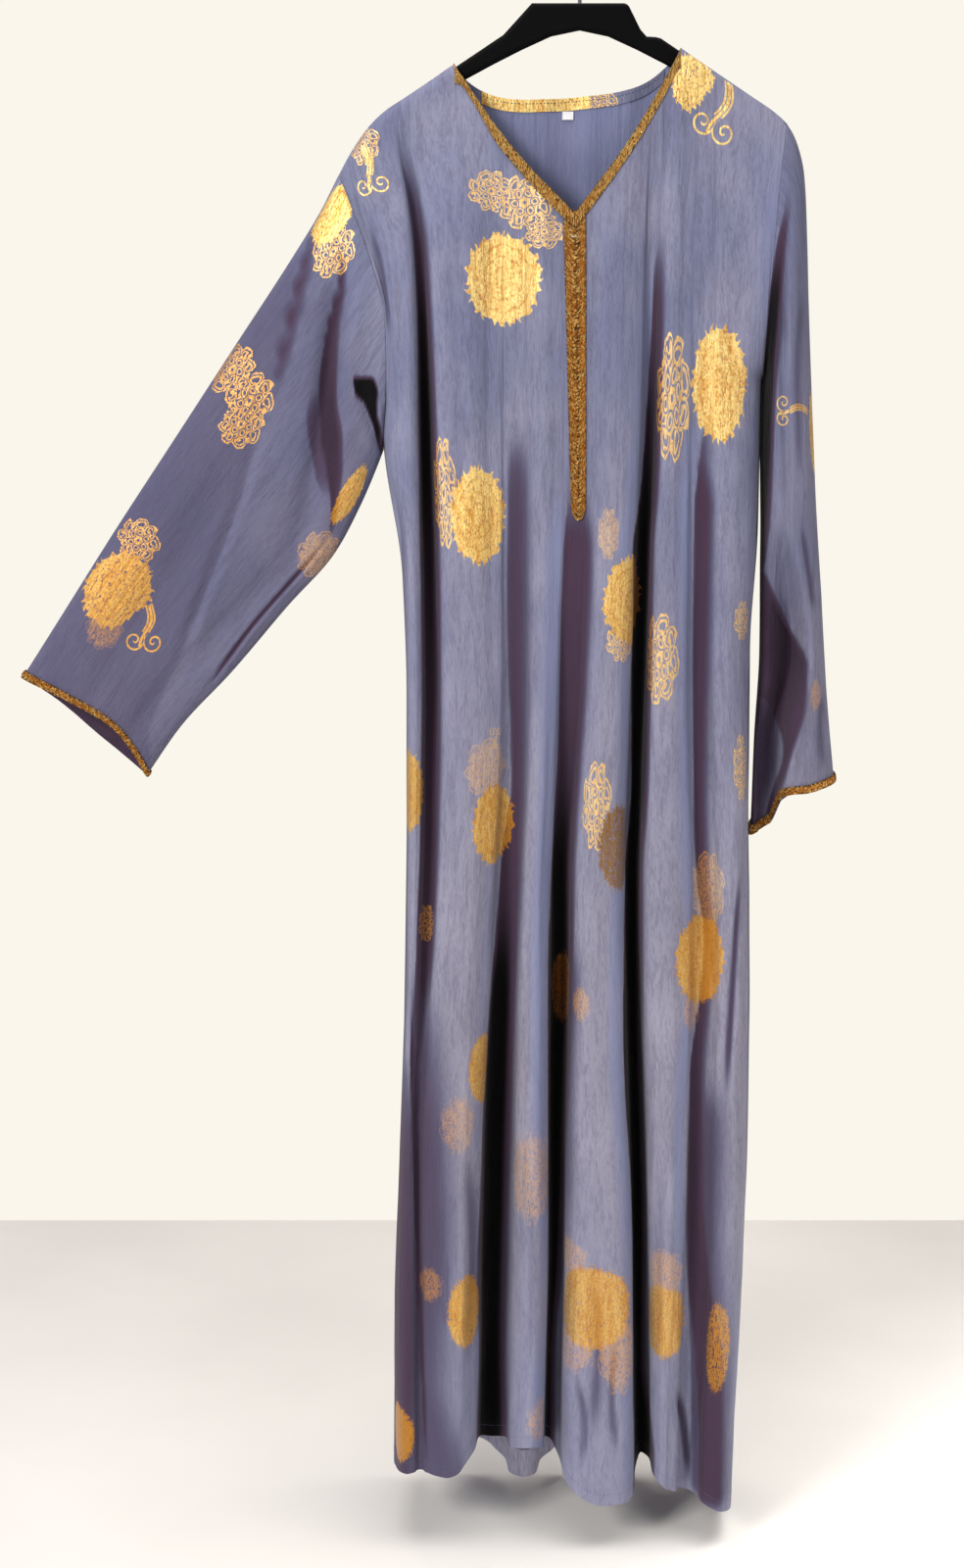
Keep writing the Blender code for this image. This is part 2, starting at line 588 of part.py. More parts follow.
def make_placket(net, material):
    """Double braid over the closed slit: a flat strip laid on the front panel's own faces."""
    read = net_reader(net)
    neck_trim_edge = net[NECK_TRIM_ROWS]
    outer = []
    inner = []
    for j in range(PLACKET_STEPS + 1):
        t = j / PLACKET_STEPS
        middle = V_BOTTOM_X + (PLACKET_BOTTOM_X - V_BOTTOM_X) * t
        width = PLACKET_TOP_WIDTH + (PLACKET_BOTTOM_WIDTH - PLACKET_TOP_WIDTH) * t
        row = []
        for across in PLACKET_COLUMNS:
            x = middle + across * width
            start = PLACKET_GAP - np.interp(x, neck_trim_edge[:, 0], neck_trim_edge[:, 2])
            end = PLACKET_BOTTOM_DROP - 4 * PLACKET_END * across * across
            row.append((x, start + (end - start) * t))
        outer.append([(x, read(x, d) - PLACKET_LIFT - PLACKET_THICKNESS, -d) for x, d in row])
        inner.append([(x, read(x, d) - PLACKET_LIFT, -d) for x, d in row])
    return make_shell("placket_trim", np.array(outer), np.array(inner), material)


def make_size_tab(net, material):
    """Blank tab hanging below the facing, on the inside of the back panel."""
    read = net_reader(net)
    facing_bottom = float(neck_drop(BACK, TAB_X)) + NECK_TRIM_HEIGHT * FACING_ROWS / NECK_TRIM_ROWS
    surface = []
    for down in (0.0, 0.5, 1.0):
        drop = facing_bottom + TAB_GAP + down * TAB_HEIGHT
        xs = [TAB_X + across * TAB_WIDTH for across in (-0.5, 0.0, 0.5)]
        surface.append([(x, read(x, drop), -drop) for x in xs])
    surface = np.array(surface)
    near = np.array([0.0, WALL * 1.1 + TRIM_LIFT, 0.0])
    far = near + (0.0, TAB_THICKNESS, 0.0)
    return make_shell("size_tab", surface - far, surface - near, material)


def hanger_outline():
    """Front outline of the hanger: flat hub, sloping arms, a strap notch at +X and the arch below."""
    def arm_top(x):
        return float(shoulder_drop(x)) + ARM_CLEARANCE

    corner = HANGER_EDGE
    arm_root = NOTCH[-1][0]
    top = [(-ARM_TIP_X + corner, arm_top(ARM_TIP_X - corner)), (-arm_root, arm_top(arm_root)),
           (-HUB_HALF_WIDTH, HUB_DROP), (HUB_HALF_WIDTH, HUB_DROP), *NOTCH,
           (NOTCH_LIP_X, arm_top(NOTCH_LIP_X)), (ARM_TIP_X - corner, arm_top(ARM_TIP_X - corner))]
    tip = [(ARM_TIP_X, arm_top(ARM_TIP_X) + corner), (ARM_TIP_X, arm_top(ARM_TIP_X) + ARM_TIP_RISE),
           (ARM_TIP_X - corner, arm_top(ARM_TIP_X - corner) + ARM_HEIGHT)]
    foot_x, foot_drop = ARCH_FOOT
    arch = []
    for k in range(9):
        t = -1 + k / 4
        x = -foot_x * t
        flat = max(abs(x) - ARCH_HALF_WIDTH, 0) / (foot_x - ARCH_HALF_WIDTH)
        arch.append((x, ARCH_DROP + (foot_drop - ARCH_DROP) * flat ** ARCH_POWER))
    left_tip = [(-x, drop) for x, drop in reversed(tip)]
    return top + tip + arch + left_tip


def make_hanger_body(material):
    """Flat moulded hanger with rounded edges and a socket for the hook's shank."""
    outline = hanger_outline()
    half = HANGER_THICKNESS / 2
    points = [(x, -half, -drop) for x, drop in outline] + [(x, half, -drop) for x, drop in outline]
    count = len(outline)
    faces = [tuple(range(count)), tuple(range(2 * count - 1, count - 1, -1))]
    faces += [(i, (i + 1) % count, (i + 1) % count + count, i + count) for i in range(count)]
    body = make_object("hanger_body", points, faces, material)
    bevel = body.modifiers.new("edge", "BEVEL")
    bevel.width = HANGER_EDGE * MM
    bevel.segments = HANGER_EDGE_STEPS
    bevel.limit_method = "ANGLE"
    bevel.angle_limit = math.radians(60)
    bpy.ops.mesh.primitive_cylinder_add(vertices=16, radius=(HOOK_WIRE_RADIUS + SOCKET_CLEARANCE) * MM,
                                        depth=2 * SOCKET_DEPTH * MM, location=(0, 0, -HUB_DROP * MM))
    cutter = bpy.context.object
    cutter.name = "socket_cutter"
    cutter.hide_render = True
    cutter.display_type = "WIRE"
    socket = body.modifiers.new("socket", "BOOLEAN")
    socket.operation = "DIFFERENCE"
    socket.object = cutter
    return body


def hook_path():
    """Middle line of the hook's wire, from its tip over the rail and down into the hub."""
    radius = HOOK_INNER_RADIUS + HOOK_WIRE_RADIUS
    centre = HOOK_INNER_RADIUS
    angles = np.radians(np.linspace(HOOK_TIP_ANGLE, HOOK_TURN_ANGLE, 22))
    points = [(radius * math.cos(a), radius * math.sin(a) - centre) for a in angles]
    x0, z0 = points[-1]
    heading = (-math.sin(angles[-1]), math.cos(angles[-1]))
    stem = (0.0, -HOOK_STEM_DROP)
    pull = 14.0
    for k in range(1, 6):
        t = k / 5
        a = (x0 + heading[0] * pull, z0 + heading[1] * pull)
        b = (stem[0], stem[1] + pull * 0.8)
        points.append(tuple((1 - t) ** 3 * p + 3 * t * (1 - t) ** 2 * q + 3 * t * t * (1 - t) * r + t ** 3 * s
                            for p, q, r, s in zip((x0, z0), a, b, stem)))
    points.append((0.0, -HUB_DROP - SOCKET_DEPTH + SOCKET_CLEARANCE))
    return points


def make_hook(material):
    """Wire hook: a ring of points round each point of its path, with flat ends."""
    path = np.array(hook_path())
    sides = 10
    points = []
    for k, (x, z) in enumerate(path):
        step = path[min(k + 1, len(path) - 1)] - path[max(k - 1, 0)]
        step = step / np.linalg.norm(step)
        for m in range(sides):
            a = 2 * math.pi * m / sides
            out = HOOK_WIRE_RADIUS * math.cos(a)
            points.append((x + step[1] * out, HOOK_WIRE_RADIUS * math.sin(a), z - step[0] * out))
    faces = [tuple(range(sides)), tuple(range(len(points) - 1, len(points) - sides - 1, -1))]
    for k in range(len(path) - 1):
        for m in range(sides):
            a = k * sides + m
            b = k * sides + (m + 1) % sides
            faces.append((a, a + sides, b + sides, b))
    return make_object("hanger_hook", points, faces, material)


def main():
    for obj in list(bpy.data.objects):
        bpy.data.objects.remove(obj)
    crepe = make_material("lilac_crepe", LILAC_CREPE)
    braid = make_material("gold_braid", GOLD_BRAID)
    tape = make_material("white_tape", WHITE_TAPE)
    plastic = make_material("black_plastic", BLACK_PLASTIC)
    wire = make_material("chromed_wire", CHROMED_WIRE)

    panels = {}
    normals = {}
    for name, side in (("front_panel", FRONT), ("back_panel", BACK)):
        net = panel_net(side)
        out = panel_normals(side, net)
        make_shell(name, net, net - out * WALL, crepe)
        panels[side] = net
        normals[side] = out

    sleeves = (("right", RIGHT_RINGS, RIGHT_RING_COUNT, RIGHT_CREASES, RIGHT_CUFF, 0, -1),
               ("left", LEFT_RINGS, LEFT_RING_COUNT, LEFT_CREASES, LEFT_CUFF, -1, 1))
    for name, rings, ring_count, creases, cuff, column, outward in sleeves:
        net = sleeve_net((panels[FRONT], panels[BACK]), rings, ring_count, creases, cuff, column, outward)
        out = net_normals(net, closed=True)
        centre = net.mean(1, keepdims=True)
        if ((net - centre) * out).sum() < 0:
            out = -out
        front, back = (normals[side][:ARMHOLE_STEPS + 1, column] for side in (FRONT, BACK))
        out[0] = np.concatenate([front, back[-2:0:-1]])
        make_shell(name + "_sleeve", net, net - out * WALL, crepe, closed=True)
        cuff_net, cuff_out = net[-2:], out[-2:]
        outer, inner = offset_layers(cuff_net, cuff_out, TRIM_LIFT, TRIM_LIFT + CUFF_TRIM_THICKNESS)
        make_shell("cuff_trim_" + name, outer, inner, braid, closed=True)

    front = panels[FRONT]
    top_x = front[0, :, 0]
    lowest = int(np.argmin(front[0, :, 2] + (np.abs(top_x - V_BOTTOM_X) > 20) * 1000))
    first = int(np.argmin(np.abs(top_x - NECK_RIGHT_X)))
    last = int(np.argmin(np.abs(top_x - NECK_LEFT_X)))
    for name, low, high in (("neck_trim_right", first, lowest), ("neck_trim_left", lowest, last)):
        part = front[:NECK_TRIM_ROWS + 1, low:high + 1].copy()
        out = normals[FRONT][:NECK_TRIM_ROWS + 1, low:high + 1]
        outer, inner = offset_layers(part, out, TRIM_LIFT, TRIM_LIFT + NECK_TRIM_THICKNESS)
        end = -1 if name.endswith("right") else 0
        toward = -1 if name.endswith("right") else 1
        outer[:, end, 0] += toward * SEAM_GAP / 2
        inner[:, end, 0] += toward * SEAM_GAP / 2
        make_shell(name, outer, inner, braid)
    make_placket(front, braid)

    back = panels[BACK]
    first, last = np.searchsorted(back[0, :, 0], (FACING_FROM_X, FACING_TO_X))
    rows = slice(0, FACING_ROWS + 1)
    low = -WALL - TRIM_LIFT
    outer, inner = offset_layers(back[rows, first:last], normals[BACK][rows, first:last],
                                 low - FACING_THICKNESS, low)
    make_shell("back_neck_facing", outer, inner, crepe)
    make_size_tab(back, tape)
    make_hanger_body(plastic)
    make_hook(wire)


main()
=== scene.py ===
"""Looks of a long V-necked robe of crinkled crepe with a gold foil print, hanging on a moulded hanger.

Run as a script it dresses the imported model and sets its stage. As an add-on it lists the same steps in the
3D view's sidebar. Shapes are worked out in millimetres and turned into metres by make_mesh. +X is to the
viewer's right, the front faces -Y and +Z is up. A drop is a height read downwards from the origin, the
inside top of the hanger's hook. Right and left in names are the wearer's, so the right sleeve is at -X.
"""
import functools
import json
import math
from collections import namedtuple

import bpy
import numpy as np
from bpy.props import FloatProperty, FloatVectorProperty, PointerProperty
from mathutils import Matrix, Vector

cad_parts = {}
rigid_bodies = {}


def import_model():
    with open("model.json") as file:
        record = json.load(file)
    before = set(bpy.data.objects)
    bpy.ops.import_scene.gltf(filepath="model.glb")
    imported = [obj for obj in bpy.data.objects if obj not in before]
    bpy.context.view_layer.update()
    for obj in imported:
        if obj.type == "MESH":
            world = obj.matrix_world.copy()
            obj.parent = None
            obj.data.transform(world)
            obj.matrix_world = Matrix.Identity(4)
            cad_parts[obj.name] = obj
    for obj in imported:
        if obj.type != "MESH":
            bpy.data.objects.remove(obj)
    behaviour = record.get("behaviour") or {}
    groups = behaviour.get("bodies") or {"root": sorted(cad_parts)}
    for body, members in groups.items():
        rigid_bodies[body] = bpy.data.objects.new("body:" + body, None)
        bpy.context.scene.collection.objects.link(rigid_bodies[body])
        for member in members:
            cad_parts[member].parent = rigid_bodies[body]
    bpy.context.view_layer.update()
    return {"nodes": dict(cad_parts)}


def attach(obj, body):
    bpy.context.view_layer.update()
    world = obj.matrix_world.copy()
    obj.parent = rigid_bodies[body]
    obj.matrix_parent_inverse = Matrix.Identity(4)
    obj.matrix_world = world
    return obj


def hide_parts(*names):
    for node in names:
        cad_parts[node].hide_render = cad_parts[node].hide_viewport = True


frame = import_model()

bl_info = {
    "name": "Crepe robe on a hanger",
    "version": (1, 0, 0),
    "blender": (4, 5, 0),
    "location": "3D View > Sidebar > Robe",
    "description": "Dresses a packed robe with crinkled cloth, foil print, braid, stitching and a stage",
    "category": "Object",
}

MM = 0.001
TINY = 1e-9
LEAST_COSINE = 0.7
FRONT = -1
BACK = 1

# ---- Form of the garment, as in the solids ----
SEAM_GAP = 0.3
SHOULDER_TOP = 40.0
SHOULDER_SLOPE = 0.649
SHOULDER_DROOP = 0.0137
SHOULDER_DROOP_FROM = 190.0
SHOULDER_ROLL = 11.0
SHOULDER_FILL = 200.0
NECK_RIGHT_X = -124.0
NECK_LEFT_X = 100.0
V_BOTTOM_X = -5.0
V_BOTTOM_DROP = 264.0
V_BOW = 11.0
V_SLOPE = 1.36
V_REACH = 20.0
BACK_NECK_DIP = 37.0
NECK_TURN = 3.0
NECK_FADE = 60.0
SHOULDER_ROWS = np.array([0.0, 1.2, 4.0, 9.0, 20.0])
BODY_ROWS = np.array([0.10, 0.24, 0.41, 0.60, 0.80, 1.0])
TOP_ROUNDS = 12
ARMHOLE_STEPS = 10
SKIRT_STEPS = 10
SEAM_RUN_IN = 12.0
HOLE_POWER = 0.9
NECK_TRIM_WIDTH = 9.5
NECK_TRIM_HEIGHT = NECK_TRIM_WIDTH * math.hypot(1, V_SLOPE)
NECK_TRIM_ROWS = 4
FACING_ROWS = 3
FACING_FROM_X = -97.0
FACING_TO_X = 88.0
CUFF_TRIM_WIDTH = 9.0
PLACKET_GAP = 0.6
PLACKET_BOTTOM_DROP = 566.0
PLACKET_BOTTOM_X = 0.0
PLACKET_TOP_WIDTH = 22.0
PLACKET_BOTTOM_WIDTH = 15.0
PLACKET_END = 12.0
TAB_X = -10.5

DROPS = (190, 300, 500, 730, 960, 1250, 1530)
Fold = namedtuple("Fold", "x depth mouth")
FRONT_FOLDS = (
    Fold(x=(-174, -158, -152, -147, -151, -162, -160), depth=(8, 20, 26, 26, 18, 9, 8),
         mouth=(12, 12, 12, 14, 12, 9, 9)),
    Fold(x=(-64, -64, -64, -62, -71, -80, -85), depth=(0, 0, 3, 16, 32, 60, 66),
         mouth=(23, 24, 26, 28, 30, 32, 32)),
    Fold(x=(-5, -5, -4, -8, -16, -18, -22), depth=(0, 0, 0, 16, 38, 58, 62),
         mouth=(24, 24, 24, 24, 22, 20, 20)),
    Fold(x=(76, 72, 69, 62, 58, 67, 73), depth=(0, 8, 24, 34, 46, 60, 64),
         mouth=(14, 14, 15, 16, 16, 17, 17)),
    Fold(x=(124, 122, 122, 123, 131, 128, 120), depth=(0, 0, 6, 20, 22, 26, 28),
         mouth=(20, 22, 24, 26, 28, 28, 26)),
)
BACK_FOLDS = (
    Fold(x=(-130, -132, -130, -128, -130, -134, -136), depth=(0, 4, 10, 20, 28, 36, 40),
         mouth=(24, 24, 26, 28, 30, 32, 34)),
    Fold(x=(-54, -54, -55, -56, -56, -54, -52), depth=(0, 0, 6, 22, 40, 56, 66),
         mouth=(24, 24, 26, 28, 30, 32, 34)),
    Fold(x=(30, 30, 30, 32, 34, 36, 38), depth=(0, 0, 8, 18, 24, 30, 34),
         mouth=(24, 24, 28, 32, 34, 36, 36)),
    Fold(x=(110, 110, 112, 114, 112, 108, 106), depth=(0, 4, 12, 22, 32, 40, 44),
         mouth=(22, 22, 24, 28, 30, 32, 32)),
)
FRONT_RIDGE_COLUMNS = (3, 2, 3, 2)
BACK_RIDGE_COLUMNS = (3, 3, 3)
FRONT_DEPTH = (22, 34, 42, 50, 62, 78, 92)
BACK_DEPTH = (20, 30, 36, 44, 54, 68, 82)
RIDGE_CROWN = 0.10
FOLD_START = 30.0
FOLD_EASE = 60.0
FOLD_SECTION = ((-0.85, 0.08), (-0.52, 0.36), (-0.42, 0.80), (0.0, 1.0),
                (0.42, 0.80), (0.52, 0.36), (0.85, 0.08))
SIDE_SECTION = ((0.0, 0.0), (0.05, 0.36), (0.22, 0.72), (0.50, 0.93), (0.78, 1.0))
SIDE_ARMHOLE_SHARE = (1.0, 0.75, 0.45, 0.20, 0.05)

Edge = namedtuple("Edge", "drop x")
RIGHT_EDGE = (Edge(226, -238), Edge(288, -214), Edge(371, -192), Edge(430, -191), Edge(496, -195),
              Edge(560, -181), Edge(736, -173), Edge(1150, -179), Edge(1435, -189), Edge(1575, -190))
LEFT_EDGE = (Edge(176, 205), Edge(210, 199), Edge(296, 191), Edge(430, 185), Edge(590, 184),
             Edge(736, 177), Edge(1150, 184), Edge(1250, 183), Edge(1435, 176), Edge(1620, 171))
Hem = namedtuple("Hem", "x drop")
FRONT_HEM = (Hem(-190, 1562), Hem(-182, 1550), Hem(-160, 1546), Hem(-130, 1550), Hem(-97, 1530),
             Hem(-85, 1536), Hem(-47, 1518), Hem(-22, 1538), Hem(-8, 1562), Hem(30, 1580),
             Hem(60, 1580), Hem(74, 1552), Hem(106, 1571), Hem(143, 1586), Hem(162, 1594), Hem(171, 1602))
BACK_HEM = (Hem(-190, 1562), Hem(-150, 1578), Hem(-100, 1586), Hem(-72, 1600), Hem(-32, 1602),
            Hem(0, 1592), Hem(82, 1594), Hem(171, 1602))
Ring = namedtuple("Ring", "along top_x top_drop under_x under_drop half_depth")
RIGHT_RINGS = (
    Ring(0.00, -238, 226, -195, 496, 28),
    Ring(0.08, -257, 262, -203, 516, 27),
    Ring(0.18, -287, 309, -219, 552, 25),
    Ring(0.34, -344, 393, -246, 600, 22),
    Ring(0.52, -407, 486, -296, 655, 19),
    Ring(0.70, -470, 579, -352, 720, 17),
    Ring(0.86, -523, 660, -404, 775, 16),
    Ring(1.00, -567, 727, -442, 829, 16),
)
LEFT_RINGS = (
    Ring(0.00, 205, 176, 185, 430, 38),
    Ring(0.06, 214, 191, 186, 433, 40),
    Ring(0.14, 223, 226, 186, 440, 43),
    Ring(0.26, 227, 290, 186, 456, 45),
    Ring(0.40, 231, 380, 186, 490, 46),
    Ring(0.58, 240, 530, 188, 590, 46),
    Ring(0.74, 250, 660, 188, 700, 45),
    Ring(0.88, 258, 760, 184, 800, 43),
    Ring(1.00, 266, 832, 182, 890, 42),
)
RIGHT_HOLE = RIGHT_RINGS[0]
LEFT_HOLE = LEFT_RINGS[0]
SLEEVE_ROUNDNESS = 0.75
CREASE_RISE = 1.6
Crease = namedtuple("Crease", "side along across depth top_width under_width")
RIGHT_CREASES = (
    Crease(FRONT, (0.02, 0.15, 0.35, 0.50), (0.20, 0.36, 0.72, 0.90), (0, 9, 8, 0), 20, 20),
    Crease(FRONT, (0.30, 0.50, 0.75, 0.95), (0.30, 0.36, 0.42, 0.50), (0, 5, 6, 0), 22, 22),
    Crease(FRONT, (0.40, 0.60, 0.80, 1.00), (0.86, 0.82, 0.80, 0.78), (0, 6, 5, 3), 14, 14),
    Crease(BACK, (0.05, 0.30, 0.60, 0.95), (0.40, 0.50, 0.55, 0.45), (0, 8, 6, 0), 22, 22),
)
LEFT_CREASES = (
    Crease(FRONT, (0.56, 0.66, 0.78, 0.90, 1.00), (0.86, 0.60, 0.46, 0.70, 0.76),
           (0, 30, 52, 46, 30), 9, 30),
    Crease(FRONT, (0.10, 0.30, 0.50, 0.62), (0.50, 0.62, 0.55, 0.45), (0, 6, 5, 0), 16, 16),
    Crease(BACK, (0.15, 0.40, 0.70, 0.98), (0.50, 0.55, 0.50, 0.48), (0, 12, 16, 8), 18, 18),
)
Rise = namedtuple("Rise", "across front back")
RIGHT_CUFF = (Rise(0.0, 0, 0), Rise(0.30, 12, 2), Rise(0.62, 20, 0), Rise(0.85, 12, 0), Rise(1.0, 0, 0))
LEFT_CUFF = (Rise(0.0, 0, 0), Rise(0.35, 12, 4), Rise(0.64, 24, 4), Rise(0.78, 0, 2), Rise(1.0, 0, 0))

# ---- Detail that the solids leave out ----
# Steps of the dense nets, and how far the sleeves' crinkle is moved away from the body's
ROW_STEP = 6.4
COLUMN_STEP = 3.3
SLEEVE_RING_STEP = 3.6
SLEEVE_SHIFT = 700.0

# Where wrinkles are calm: beside every edge, below a panel's top, and along a sleeve's top edge
EDGE_FADE = 14.0
CALM_SHARE = 0.35
CALM_REACH = 120.0
TOP_CALM = 40.0
FRONT_SEED = 3
BACK_SEED = 11

# Shade: how soon a sleeve's tone is full, how squarely its bands have to face, and what is too faint to count
SLEEVE_TONE_RUN = 80.0
FRONT_FACING = 0.2
FAINT = 0.03

# Painted shade of each fold: how soft its edges are, how blue the painted cool light makes the cloth on its
# left, and then rows down the cloth of drop, left edge, right edge and tone. A tone of 0.5 is painted purple
# shade and 1 is painted black.
FRONT_BANDS = (
    (4, 0.35, ((192, -180, -171, 0.15), (297, -164, -149, 0.45), (372, -160, -146, 0.75),
        (458, -159, -143, 0.85), (731, -156, -138, 0.62), (991, -162, -145, 0.5), (1082, -166, -152, 0.35),
        (1235, -157, -138, 0.3), (1339, -153, -137, 0.25), (1443, -185, -159, 0.3), (1539, -186, -166, 0.2))),
    (2.5, 0, ((1031, -169, -165, 0), (1112, -169, -164, 0.55), (1235, -166, -162, 0.6),
        (1339, -163, -159, 0.55), (1443, -159, -155, 0.6), (1539, -155, -150, 0.3))),
    (7, 0.4, ((458, -71, -49, 0), (535, -71, -49, 0.34), (633, -72, -49, 0.38), (830, -67, -51, 0.42),
        (900, -76, -55, 0.5), (970, -81, -59, 0.66), (1072, -89, -65, 1), (1339, -98, -73, 1),
        (1443, -98, -75, 1), (1528, -99, -73, 1))),
    (5, 0.85, ((535, -12, 9, 0.12), (594, -15, 14, 0.46), (731, -18, 9, 0.52), (810, -20, 3, 0.62),
        (930, -26, -5, 0.92), (1031, -29, -6, 1), (1339, -27, -14, 1), (1443, -29, -21, 1),
        (1528, -30, -21, 1))),
    (8, 0, ((960, -8, -2, 0), (1031, -8, 3, 0.34), (1153, -10, -2, 0.32), (1235, -11, -1, 0.28),
        (1339, -15, -7, 0.1))),
    (3.5, 0.7, ((277, 74, 85, 0), (334, 73, 84, 0.38), (401, 71, 82, 0.62), (535, 63, 78, 0.84),
        (594, 55, 74, 0.92), (731, 56, 72, 1), (830, 57, 70, 1), (930, 51, 65, 1), (1072, 48, 67, 1),
        (1339, 62, 74, 1), (1443, 61, 74, 1), (1528, 63, 82, 1))),
    (6, 0.8, ((439, 126, 137, 0), (506, 119, 130, 0.36), (555, 116, 134, 0.5), (830, 118, 133, 0.46),
        (930, 122, 136, 0.46), (991, 131, 140, 0.6), (1051, 126, 138, 0.5), (1133, 117, 134, 0.46),
        (1235, 116, 134, 0.56), (1339, 118, 141, 0.54), (1443, 127, 154, 0.5), (1539, 131, 155, 0.5))),
    (3, 0.35, ((239, 200, 208, 0.3), (286, 195, 206, 0.75), (343, 188, 200, 0.9), (536, 182, 192, 0.95),
        (610, 180, 191, 0.9), (654, 178, 186, 0.35), (734, 173, 181, 0.25), (1041, 175, 185, 0.2),
        (1252, 177, 186, 0.15), (1468, 171, 181, 0.1))),
    (6, 0.5, ((506, -190, -184, 0.15), (594, -178, -168, 0.22), (830, -179, -167, 0.25),
        (1031, -180, -170, 0.3), (1235, -185, -177, 0.3), (1443, -190, -181, 0.3))),
    (18, 0, ((1011, -166, -142, 0), (1092, -164, -136, 0.27), (1184, -164, -132, 0.35),
        (1287, -169, -124, 0.32), (1443, -185, -133, 0.3), (1539, -185, -108, 0.27))),
    (16, 0, ((1112, 117, 148, 0), (1184, 113, 156, 0.3), (1287, 114, 150, 0.35), (1443, 120, 161, 0.32),
        (1539, 121, 163, 0.3))),
    (8, 0, ((1031, -180, -164, 0), (1235, -185, -165, 0.41), (1443, -190, -161, 0.41),
        (1539, -190, -166, 0.38))),
)
LEFT_SLEEVE_BANDS = (
    (3, 0, ((261, 200, 208, 0.2), (304, 192, 201, 0.6), (352, 187, 198, 0.85), (439, 183, 194, 0.9),
        (595, 180, 190, 0.8), (625, 178, 188, 0.5))),
    (3, 0, ((614, 175, 189, 0.3), (634, 175, 197, 0.55), (664, 176, 212, 0.62), (694, 176, 227, 0.62),
        (710, 177, 232, 0.6), (733, 177, 232, 0.52), (756, 201, 230, 0.5), (794, 211, 220, 0.5),
        (873, 196, 201, 0.45))),
    (8, 0, ((723, 175, 211, 0.1), (754, 175, 211, 0.36), (814, 174, 209, 0.34), (865, 175, 198, 0.36),
        (890, 176, 199, 0.4))),
)
RIGHT_SLEEVE_BANDS = (
    (10, 0, ((248, -571, -248, 0.1), (343, -574, -274, 0.23), (458, -578, -303, 0.23), (575, -581, -345, 0.23),
        (779, -588, -428, 0.23))),
    (9, 0, ((258, -263, -258, 0), (300, -273, -262, 0.4), (341, -284, -271, 0.46), (402, -299, -285, 0.42),
        (470, -317, -304, 0))),
    (4, 0, ((290, -235, -231, 0), (329, -238, -231, 0.45), (376, -249, -239, 0.52), (434, -258, -243, 0.6),
        (487, -259, -236, 0.66), (511, -254, -236, 0.62), (550, -248, -241, 0.6), (596, -253, -247, 0))),
    (5, 0, ((415, -262, -250, 0), (468, -272, -250, 0.34), (515, -265, -245, 0.36), (560, -254, -243, 0))),
    (1.5, 0, ((423, -223, -207, 0), (428, -224, -203, 1), (440, -222, -200, 1), (449, -214, -201, 1),
        (460, -209, -201, 1), (477, -203, -197, 0.9), (500, -198, -194, 0.5), (508, -197, -193, 0))),
)

# How long a band takes to begin and to end, and how far its painted cool light beside it reaches, in how deep a
# shade
BAND_END = 30.0
BLUE_REACH = 26.0
BLUE_FADE = 18.0
BLUE_LIMIT = 0.25

# Shade of the back's folds: where it begins and how soon it is full, for inset, drop, hem and seams
SHADE_INSET = 5.0
SHADE_INSET_RUN = 36.0
SHADE_TOP = 700.0
SHADE_TOP_RUN = 420.0
SHADE_HEM = 1560.0
SHADE_HEM_RUN = 90.0
SHADE_SEAM_GAP = 45.0
SHADE_SEAM_RUN = 50.0
SHADE_TONE = 0.8

# Soft lengthwise wrinkles: size across, size along, and height, in layers from broad to fine
Wrinkle = namedtuple("Wrinkle", "across along height")
WRINKLES = (Wrinkle(46, 330, 0.9), Wrinkle(21, 170, 0.65), Wrinkle(10, 80, 0.4))
WANDER = Wrinkle(90, 160, 0.6)
WANDER_SEED = 31
WRINKLE_AT_TOP = 0.75
WRINKLE_GROWTH = 0.5
WRINKLE_DROP = 1500.0

# Creases: a line of (x, drop) places, how deep it is pressed, how wide, and how dark its painted shade is.
# Each fades out over a share of its length at both ends, and on cloth that faces another way, and lies between
# banks whose sizes are shares of its own.
TROUGH_END = 0.3
TROUGH_FACING = 3
BANK_PLACE = 2.2
BANK_WIDTH = 1.1
BANK_HEIGHT = 0.35
Trough = namedtuple("Trough", "side line depth width tone", defaults=(0.25,))
FRONT_TROUGHS = [Trough(FRONT, *row) for row in (
    (((-168, 965), (-163, 1180), (-160, 1400), (-158, 1530)), 2.6, 3.5, 0.4),
    (((168, 890), (160, 1010), (151, 1180)), 2.4, 3.5, 0.4),
    (((106, 1452), (116, 1510), (122, 1575)), 3.0, 4, 0.36),
    (((136, 1430), (128, 1490), (132, 1560)), 2.4, 4, 0.3),
    (((-210, 262), (-196, 320), (-186, 400)), 2.4, 4),
    (((-120, 200), (-126, 320), (-120, 470), (-124, 640)), 0.9, 9, 0.1),
    (((-98, 300), (-92, 430), (-96, 560)), 0.7, 6, 0.06),
    (((30, 330), (24, 460), (28, 640)), 0.4, 10, 0.05),
    (((46, 250), (40, 350), (44, 470)), 0.3, 7, 0.05),
    (((150, 250), (156, 380), (150, 520)), 0.8, 9, 0.06),
    (((-112, 1180), (-104, 1320), (-112, 1460)), 2.2, 7),
    (((-140, 1250), (-132, 1340), (-138, 1430)), 1.6, 5),
    (((14, 1300), (24, 1400), (16, 1530)), 2.4, 7),
    (((44, 1380), (38, 1460), (46, 1540)), 1.8, 5),
    (((0, 1430), (10, 1500), (4, 1550)), 1.6, 5),
    (((92, 1180), (86, 1330), (94, 1480)), 1.4, 7, 0.12),
    (((-50, 1200), (-44, 1330), (-50, 1460)), 1.2, 6, 0.12),
)]
